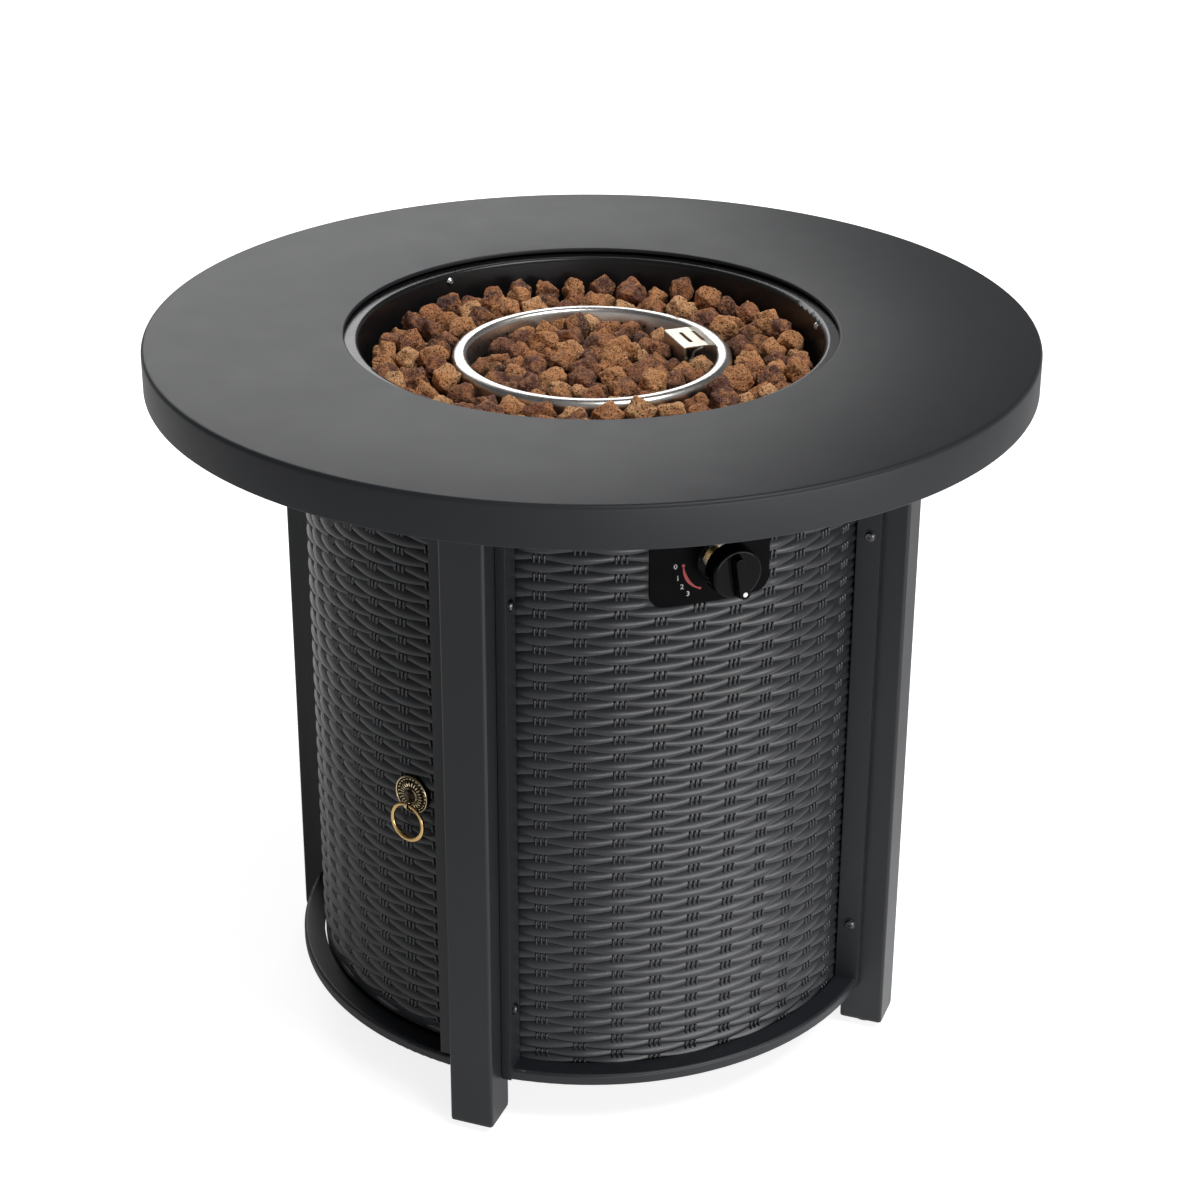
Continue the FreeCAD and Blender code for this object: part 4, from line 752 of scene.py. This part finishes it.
# Beads and flutes: how many, first one in steps, circle's radius, outward place and half sizes in mm, turn
ROSETTE_TRIM = ((26, 0.0, 14.25, 1.0, (1.3, 0.85, 1.0), math.pi / 2),
                (24, 0.5, 9.7, 2.2, (2.6, 0.85, 1.3), 0.0))
NECK_PLACES = ((-4.2, 1.1), (-3.4, 1.1), (-1.9, 0.9))
NECK_HALF = (2.0 * MM, 2.2 * MM, 2.0 * MM)
EYE_R, EYE_WIRE_R, EYE_WIDTH = 2.75 * MM, 0.85 * MM, 1.9
RING_WIRE, RING_SWELL = 1.5, 0.8


def pull_point(origin_r, origin_z, out, across, up):
    """A point at the ring pull: outward from the sheet, sideways and up, in metres."""
    return on_cylinder(origin_r + out, PULL_AZIMUTH, origin_z + up) + Vector(
        (math.cos(PULL_AZIMUTH), math.sin(PULL_AZIMUTH), 0)) * across


def add_blob(points, faces, relief, origin, centre, size, turn, rings=7, sides=12):
    """A closed ellipsoid at (out, across, up) whose long axis is turned in the rosette's plane."""
    start = len(points)
    for i in range(rings):
        level = math.pi * (i + 0.35) / (rings - 0.3)
        for k in range(sides):
            spin = 2 * math.pi * k / sides
            along, over = size[0] * math.cos(level), size[1] * math.sin(level) * math.cos(spin)
            out = size[2] * math.sin(level) * math.sin(spin)
            across = centre[1] + along * math.cos(turn) - over * math.sin(turn)
            up = centre[2] + along * math.sin(turn) + over * math.cos(turn)
            points.append(pull_point(*origin, centre[0] + out, across, up))
            relief.append(0.35 + 0.6 * math.sin(level) * max(0.0, math.sin(spin)))
    faces += grid_faces(rings, sides, start, False, True)
    faces += [tuple(range(start + sides - 1, start - 1, -1)),
              tuple(range(start + (rings - 1) * sides, start + rings * sides))]


def pull_rosette(materials):
    origin = (SHEET_R, ROSETTE_Z)
    points, relief = [], []
    sides = ROSETTE_SIDES
    for r, out, worn in ROSETTE_PROFILE:
        for k in range(sides):
            turn = 2 * math.pi * k / sides
            points.append(pull_point(*origin, out * MM, r * MM * math.cos(turn), r * MM * math.sin(turn)))
            relief.append(worn)
    faces = grid_faces(len(ROSETTE_PROFILE), sides, 0, False, True)
    last = (len(ROSETTE_PROFILE) - 1) * sides
    faces += [tuple(range(sides - 1, -1, -1)), tuple(range(last, last + sides))]
    for count, first, radius, out, half, across in ROSETTE_TRIM:
        for k in range(count):
            turn = 2 * math.pi * (k + first) / count
            centre = (out * MM, radius * MM * math.cos(turn), radius * MM * math.sin(turn))
            add_blob(points, faces, relief, origin, centre, [size * MM for size in half], turn + across)
    add_eye(points, faces, relief)
    piece = mesh_piece("pull_rosette_detail", points, faces, materials["antique_brass"])
    tidy_mesh(piece.data, ROSETTE_CREASE)
    point_values(piece, "relief", relief)
    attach(piece, "door")
    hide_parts("pull_rosette")


def add_eye(points, faces, relief):
    """Neck and eye that the ring hangs in; the eye's hole runs sideways."""
    origin = (PULL_PIVOT_R, PULL_PIVOT_Z)
    for out, up in NECK_PLACES:
        add_blob(points, faces, relief, origin, (out * MM, 0.0, up * MM), NECK_HALF, 0.0)
    turns, sides = 32, 12
    start = len(points)
    for i in range(turns):
        a = 2 * math.pi * i / turns
        for k in range(sides):
            b = 2 * math.pi * k / sides
            r = EYE_R + EYE_WIRE_R * math.cos(b)
            across = EYE_WIDTH * EYE_WIRE_R * math.sin(b)
            points.append(pull_point(*origin, r * math.cos(a), across, r * math.sin(a)))
            relief.append(0.45 + 0.5 * max(0.0, math.cos(b)))
    faces += grid_faces(turns, sides, start, True, True)


def pull_ring(materials):
    origin = (PULL_PIVOT_R, PULL_PIVOT_Z - PULL_RING_R)
    turns, sides = 120, 24
    points, relief = [], []
    for i in range(turns):
        a = 2 * math.pi * i / turns
        foot = (1 - math.cos(a)) / 2
        wire = (RING_WIRE + RING_SWELL * foot ** 1.5) * MM
        for k in range(sides):
            b = 2 * math.pi * k / sides
            r = PULL_RING_R + wire * math.cos(b)
            points.append(pull_point(*origin, wire * math.sin(b), r * math.sin(a), r * math.cos(a)))
            relief.append(0.55 + 0.4 * math.sin(b) + 0.15 * wander(6 * a, 2 * b, 0.5))
    faces = grid_faces(turns, sides, 0, True, True)
    piece = mesh_piece("pull_ring_detail", points, faces, materials["rubbed_brass"])
    tidy_mesh(piece.data)
    point_values(piece, "relief", relief)
    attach(piece, "pull")
    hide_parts("pull_ring")


# Marks on the control plate and the knob

INK_LIFT, INK_THICK = 0.01 * MM, 0.05 * MM
ARC_START, ARC_END = math.radians(181.6), math.radians(233)
ARC_R, ARC_NEARER = 31.1, 3.0
ARC_STEPS = 30
ARC_BLOBS = ((ARC_START, 31.1 * MM, 1.35 * MM), (ARC_END, 28.1 * MM, 1.1 * MM))
BLOB_SIDES = 20
NUMBER_HEIGHT, NUMBER_BOLD = 4.2 * MM, 0.12 * MM
CAPITAL_SHARE = 0.7
NUMBER_R = 37.4 * MM
ZERO_PLACE = (-39.6 * MM, 523.9 * MM)
NUMBER_TURNS = (("1", 198.0), ("2", 211.0), ("3", 224.0))
DOT_R, DOT_REACH = 2.05 * MM, KNOB_R - 7.4 * MM
DOT_SIDES = 28


def plate_point(x, z, lift):
    """A point of the print, on the curved face of the control plate."""
    return Vector((x, -math.sqrt((PLATE_FACE_R + lift) ** 2 - x ** 2), z))


def print_piece(name, flat, material):
    """Flat shapes in plate coordinates, as thin raised ink on the plate's curve."""
    work = bmesh.new()
    work.from_mesh(flat)
    bmesh.ops.triangulate(work, faces=[f for f in work.faces if len(f.verts) > 4])
    grown = bmesh.ops.extrude_face_region(work, geom=list(work.faces))
    raised = {item for item in grown["geom"] if isinstance(item, bmesh.types.BMVert)}
    for vert in work.verts:
        vert.co = plate_point(vert.co.x, vert.co.y, INK_LIFT + (INK_THICK if vert in raised else 0.0))
    bmesh.ops.recalc_face_normals(work, faces=work.faces)
    mesh = bpy.data.meshes.new(name)
    work.to_mesh(mesh)
    work.free()
    mesh.materials.clear()
    mesh.materials.append(material)
    piece = bpy.data.objects.new(name, mesh)
    bpy.context.scene.collection.objects.link(piece)
    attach(piece, "frame")


def plate_arc(material):
    """Tapered arc beside the knob, thick in its middle, with a round blob at each end."""
    steps = ARC_STEPS
    outer, inner = [], []
    for k in range(steps + 1):
        t = k / steps
        angle = ARC_START + t * (ARC_END - ARC_START)
        radius = (ARC_R - ARC_NEARER * t ** 3) * MM
        half = (0.30 + 1.05 * math.sin(math.pi * min(1.0, 1.1 * t)) + 0.45 * max(0.0, 4 * t - 3)) * MM
        for side, line in ((1, outer), (-1, inner)):
            r = radius + side * half
            line.append((KNOB_AXIS.x + r * math.cos(angle), KNOB_AXIS.z + r * math.sin(angle)))
    blobs = []
    for angle, radius, size in ARC_BLOBS:
        centre = (KNOB_AXIS.x + radius * math.cos(angle), KNOB_AXIS.z + radius * math.sin(angle))
        blobs.append([(centre[0] + size * math.cos(a), centre[1] + size * math.sin(a))
                      for a in (2 * math.pi * k / BLOB_SIDES for k in range(BLOB_SIDES))])
    points = outer + inner
    faces = [(k, k + 1, steps + 2 + k, steps + 1 + k) for k in range(steps)]
    for blob in blobs:
        faces.append(tuple(range(len(points), len(points) + len(blob))))
        points += blob
    flat = bpy.data.meshes.new("arc_flat")
    flat.from_pydata([(x, z, 0) for x, z in points], [], faces)
    print_piece("plate_arc", flat, material)


def plate_number(name, digit, x, z, material):
    """A plain upright number of the dial."""
    curve = bpy.data.curves.new(name + "_curve", "FONT")
    curve.body = digit
    curve.size = NUMBER_HEIGHT / CAPITAL_SHARE
    curve.offset = NUMBER_BOLD
    curve.align_x = "CENTER"
    curve.align_y = "CENTER"
    curve.resolution_u = 6
    label = bpy.data.objects.new(name + "_curve", curve)
    flat = bpy.data.meshes.new_from_object(label)
    flat.transform(Matrix.Translation((x, z, 0)))
    bpy.data.objects.remove(label)
    print_piece(name, flat, material)


def plate_numbers(material):
    """Nought where the dial starts and three steps along its arc."""
    plate_number("plate_number_0", "0", *ZERO_PLACE, material)
    for digit, degrees in NUMBER_TURNS:
        angle = math.radians(degrees)
        x, z = KNOB_AXIS.x + NUMBER_R * math.cos(angle), KNOB_AXIS.z + NUMBER_R * math.sin(angle)
        plate_number("plate_number_" + digit, digit, x, z, material)


def knob_dot(material):
    """White dot let into the dimple at the tip of the grip."""
    centre = KNOB_AXIS + Vector((math.sin(KNOB_TURN) * DOT_REACH, 0, -math.cos(KNOB_TURN) * DOT_REACH))
    rings = ((DOT_R, 0.42), (DOT_R, 0.12), (DOT_R * 0.8, 0.0), (DOT_R * 0.4, -0.05))
    count = DOT_SIDES
    points = [(centre.x + r * math.cos(a), GRIP_FACE_Y + depth * MM, centre.z + r * math.sin(a))
              for r, depth in rings for a in (2 * math.pi * k / count for k in range(count))]
    faces = grid_faces(len(rings), count, 0, False, True)
    faces += [tuple(range(count - 1, -1, -1)), tuple(range(len(points) - count, len(points)))]
    piece = mesh_piece("knob_dot", points, faces, material)
    tidy_mesh(piece.data)
    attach(piece, "knob")


# Camera, light and floor

# Place and axes of the camera that was fitted to the photo
CAMERA_AT = (-0.90607, -1.99074, 1.43080)
CAMERA_RIGHT = Vector((0.90949, -0.41571, 0.00422))
CAMERA_UP = Vector((0.17681, 0.39599, 0.90108))
CAMERA_FORWARD = Vector((0.37626, 0.81878, -0.43364))
SENSOR_WIDTH, LENS = 36.0, 81.41

# What the world gives as light, and what polished faces see of the room
ROOM_LIGHT = 0.20
ROOM_WALL, ROOM_CEILING, ROOM_BEHIND = 0.9, 0.25, 0.35
FLOOR_HALF = 20.0
FLOOR_GREY, FLOOR_GLOW = 0.6, 0.80
POOL_AT = (0.2, -0.65, 0)
POOL_INNER, POOL_OUTER, POOL_REST = 0.4, 0.9, 0.2


def camera():
    data = bpy.data.cameras.new("camera")
    data.sensor_width = SENSOR_WIDTH
    data.lens = LENS
    data.clip_end = 50.0
    view = bpy.data.objects.new("camera", data)
    bpy.context.scene.collection.objects.link(view)
    turn = Matrix((CAMERA_RIGHT, CAMERA_UP, -CAMERA_FORWARD)).transposed().to_4x4()
    view.matrix_world = Matrix.Translation(CAMERA_AT) @ turn
    bpy.context.scene.camera = view


def add_light(name, kind, place, target, power, size):
    """A sun with an angle, or a panel with a width and a height, turned to its target."""
    data = bpy.data.lights.new(name, kind)
    data.energy = power
    if kind == "AREA":
        data.shape = "RECTANGLE"
        data.size, data.size_y = size
    else:
        data.angle = size
    lamp = bpy.data.objects.new(name, data)
    bpy.context.scene.collection.objects.link(lamp)
    lamp.location = place
    lamp.rotation_euler = (Vector(target) - Vector(place)).to_track_quat("-Z", "Y").to_euler()
    lamp.visible_camera = False


def background_rays(tree, with_camera=True):
    """1 for a ray that sees the background: by a mirror or through glass, and from the camera."""
    path = tree.nodes.new("ShaderNodeLightPath")
    kinds = ["Is Glossy Ray", "Is Transmission Ray"] + (["Is Camera Ray"] if with_camera else [])
    result = path.outputs[kinds[0]]
    for kind in kinds[1:]:
        larger = tree.nodes.new("ShaderNodeMath")
        larger.operation = "MAXIMUM"
        tree.links.new(result, larger.inputs[0])
        tree.links.new(path.outputs[kind], larger.inputs[1])
        result = larger.outputs[0]
    return result


def background(tree, strength, colour=None):
    node = tree.nodes.new("ShaderNodeBackground")
    node.inputs["Strength"].default_value = strength
    if colour is None:
        node.inputs["Color"].default_value = (1, 1, 1, 1)
    else:
        tree.links.new(colour, node.inputs["Color"])
    return node.outputs[0]


def mix_shaders(tree, factor, low, high):
    node = tree.nodes.new("ShaderNodeMixShader")
    for socket, value in zip(node.inputs, (factor, low, high)):
        tree.links.new(value, socket)
    return node.outputs[0]


def world():
    """White all round for the camera; polished faces see a dim ceiling, and less light behind the table."""
    scene_world = bpy.data.worlds.new("studio")
    bpy.context.scene.world = scene_world
    scene_world.use_nodes = True
    tree = scene_world.node_tree
    tree.nodes.clear()
    split = tree.nodes.new("ShaderNodeSeparateXYZ")
    tree.links.new(tree.nodes.new("ShaderNodeTexCoord").outputs["Generated"], split.inputs[0])
    height = ramp(tree, split.outputs["Z"], (0.12, ROOM_WALL), (0.45, ROOM_CEILING))
    behind = ramp(tree, scaled(tree, split.outputs["Y"], 0.5, 0.5), (0.15, 1.0), (0.5, ROOM_BEHIND))
    room = background(tree, 1.0, mixed(tree, 1.0, height, behind, "MULTIPLY"))
    lit = mix_shaders(tree, background_rays(tree, False), background(tree, ROOM_LIGHT), room)
    camera_ray = tree.nodes.new("ShaderNodeLightPath").outputs["Is Camera Ray"]
    seen = mix_shaders(tree, camera_ray, lit, background(tree, 1.0))
    tree.links.new(seen, tree.nodes.new("ShaderNodeOutputWorld").inputs["Surface"])


def floor():
    """Pale floor that keeps the shadow. A glow lifts it to white, in mirrors only in a pool in front."""
    half = FLOOR_HALF
    points = [(-half, -half, 0), (half, -half, 0), (half, half, 0), (-half, half, 0)]
    material, tree, shader = new_material("floor")
    shader.inputs["Base Color"].default_value = (FLOOR_GREY, FLOOR_GREY, FLOOR_GREY, 1)
    shader.inputs["Roughness"].default_value = 0.8
    shader.inputs["Specular IOR Level"].default_value = 0.1
    reach = tree.nodes.new("ShaderNodeVectorMath")
    reach.operation = "DISTANCE"
    tree.links.new(object_coordinates(tree), reach.inputs[0])
    reach.inputs[1].default_value = POOL_AT
    pool = ramp(tree, reach.outputs["Value"], (POOL_INNER, 1.0), (POOL_OUTER, POOL_REST))
    camera_ray = tree.nodes.new("ShaderNodeLightPath").outputs["Is Camera Ray"]
    share = mixed(tree, camera_ray, pool, (1, 1, 1))
    glow = tree.nodes.new("ShaderNodeEmission")
    tree.links.new(share, glow.inputs["Color"])
    tree.links.new(scaled(tree, background_rays(tree), FLOOR_GLOW), glow.inputs["Strength"])
    both = tree.nodes.new("ShaderNodeAddShader")
    tree.links.new(shader.outputs[0], both.inputs[0])
    tree.links.new(glow.outputs[0], both.inputs[1])
    tree.links.new(both.outputs[0], tree.nodes["Material Output"].inputs["Surface"])
    mesh_piece("floor", points, [(0, 1, 2, 3)], material, smooth=False)


def lights():
    world()
    floor()
    add_light("overhead", "SUN", (0.9, -1.1, 3.0), (0, 0, 0), 2.3, math.radians(30))
    add_light("back_panel", "AREA", (0.45, 3.0, 2.0), (0, 0, TABLE_TOP), 36, (2.5, 1.3))
    add_light("front_panel", "AREA", (0.7, -2.6, 0.45), (0, 0, 0.3), 58, (3.4, 0.7))


def main():
    materials = make_materials()
    dress_nodes(materials)
    tabletop_skin(materials)
    weave_paint = materials["weave_paint"]
    opening = (KNOB_AXIS, OPENING_R + OPENING_MARGIN)
    plate = (math.asin((PLATE_LOW.x + PLATE_COVER) / SHEET_R),
             math.asin((PLATE_HIGH.x - PLATE_COVER) / SHEET_R),
             PLATE_LOW.z + PLATE_COVER, PLATE_HIGH.z - PLATE_COVER)
    for name, degrees, cuts in (("front", 0, (opening, plate)), ("right", 90, ()), ("back", 180, ())):
        weave(name + "_weave", math.radians(degrees), FIXED_EDGE, SHEET_LOW, SHEET_HIGH,
              name + "_panel", "frame", weave_paint, *cuts)
    weave("door_weave", math.radians(-90), DOOR_EDGE, DOOR_LOW.z, DOOR_HIGH.z,
          "door_panel", "door", weave_paint)
    spheres = [sphere_mesh(3), sphere_mesh(5)]
    stone = materials["lava_stone"]
    rocks("lava_inner", "lava_rocks_inner", stone, spheres, kept_in_inner_bed, *INNER_BED)
    rocks("lava_outer", "lava_rocks_outer", stone, spheres, kept_in_outer_bed, *OUTER_BED)
    pull_rosette(materials)
    pull_ring(materials)
    plate_arc(materials["ink_red"])
    plate_numbers(materials["ink_white"])
    knob_dot(materials["dot_white"])
    lights()
    camera()


main()
bpy.context.scene.view_settings.view_transform = "Standard"
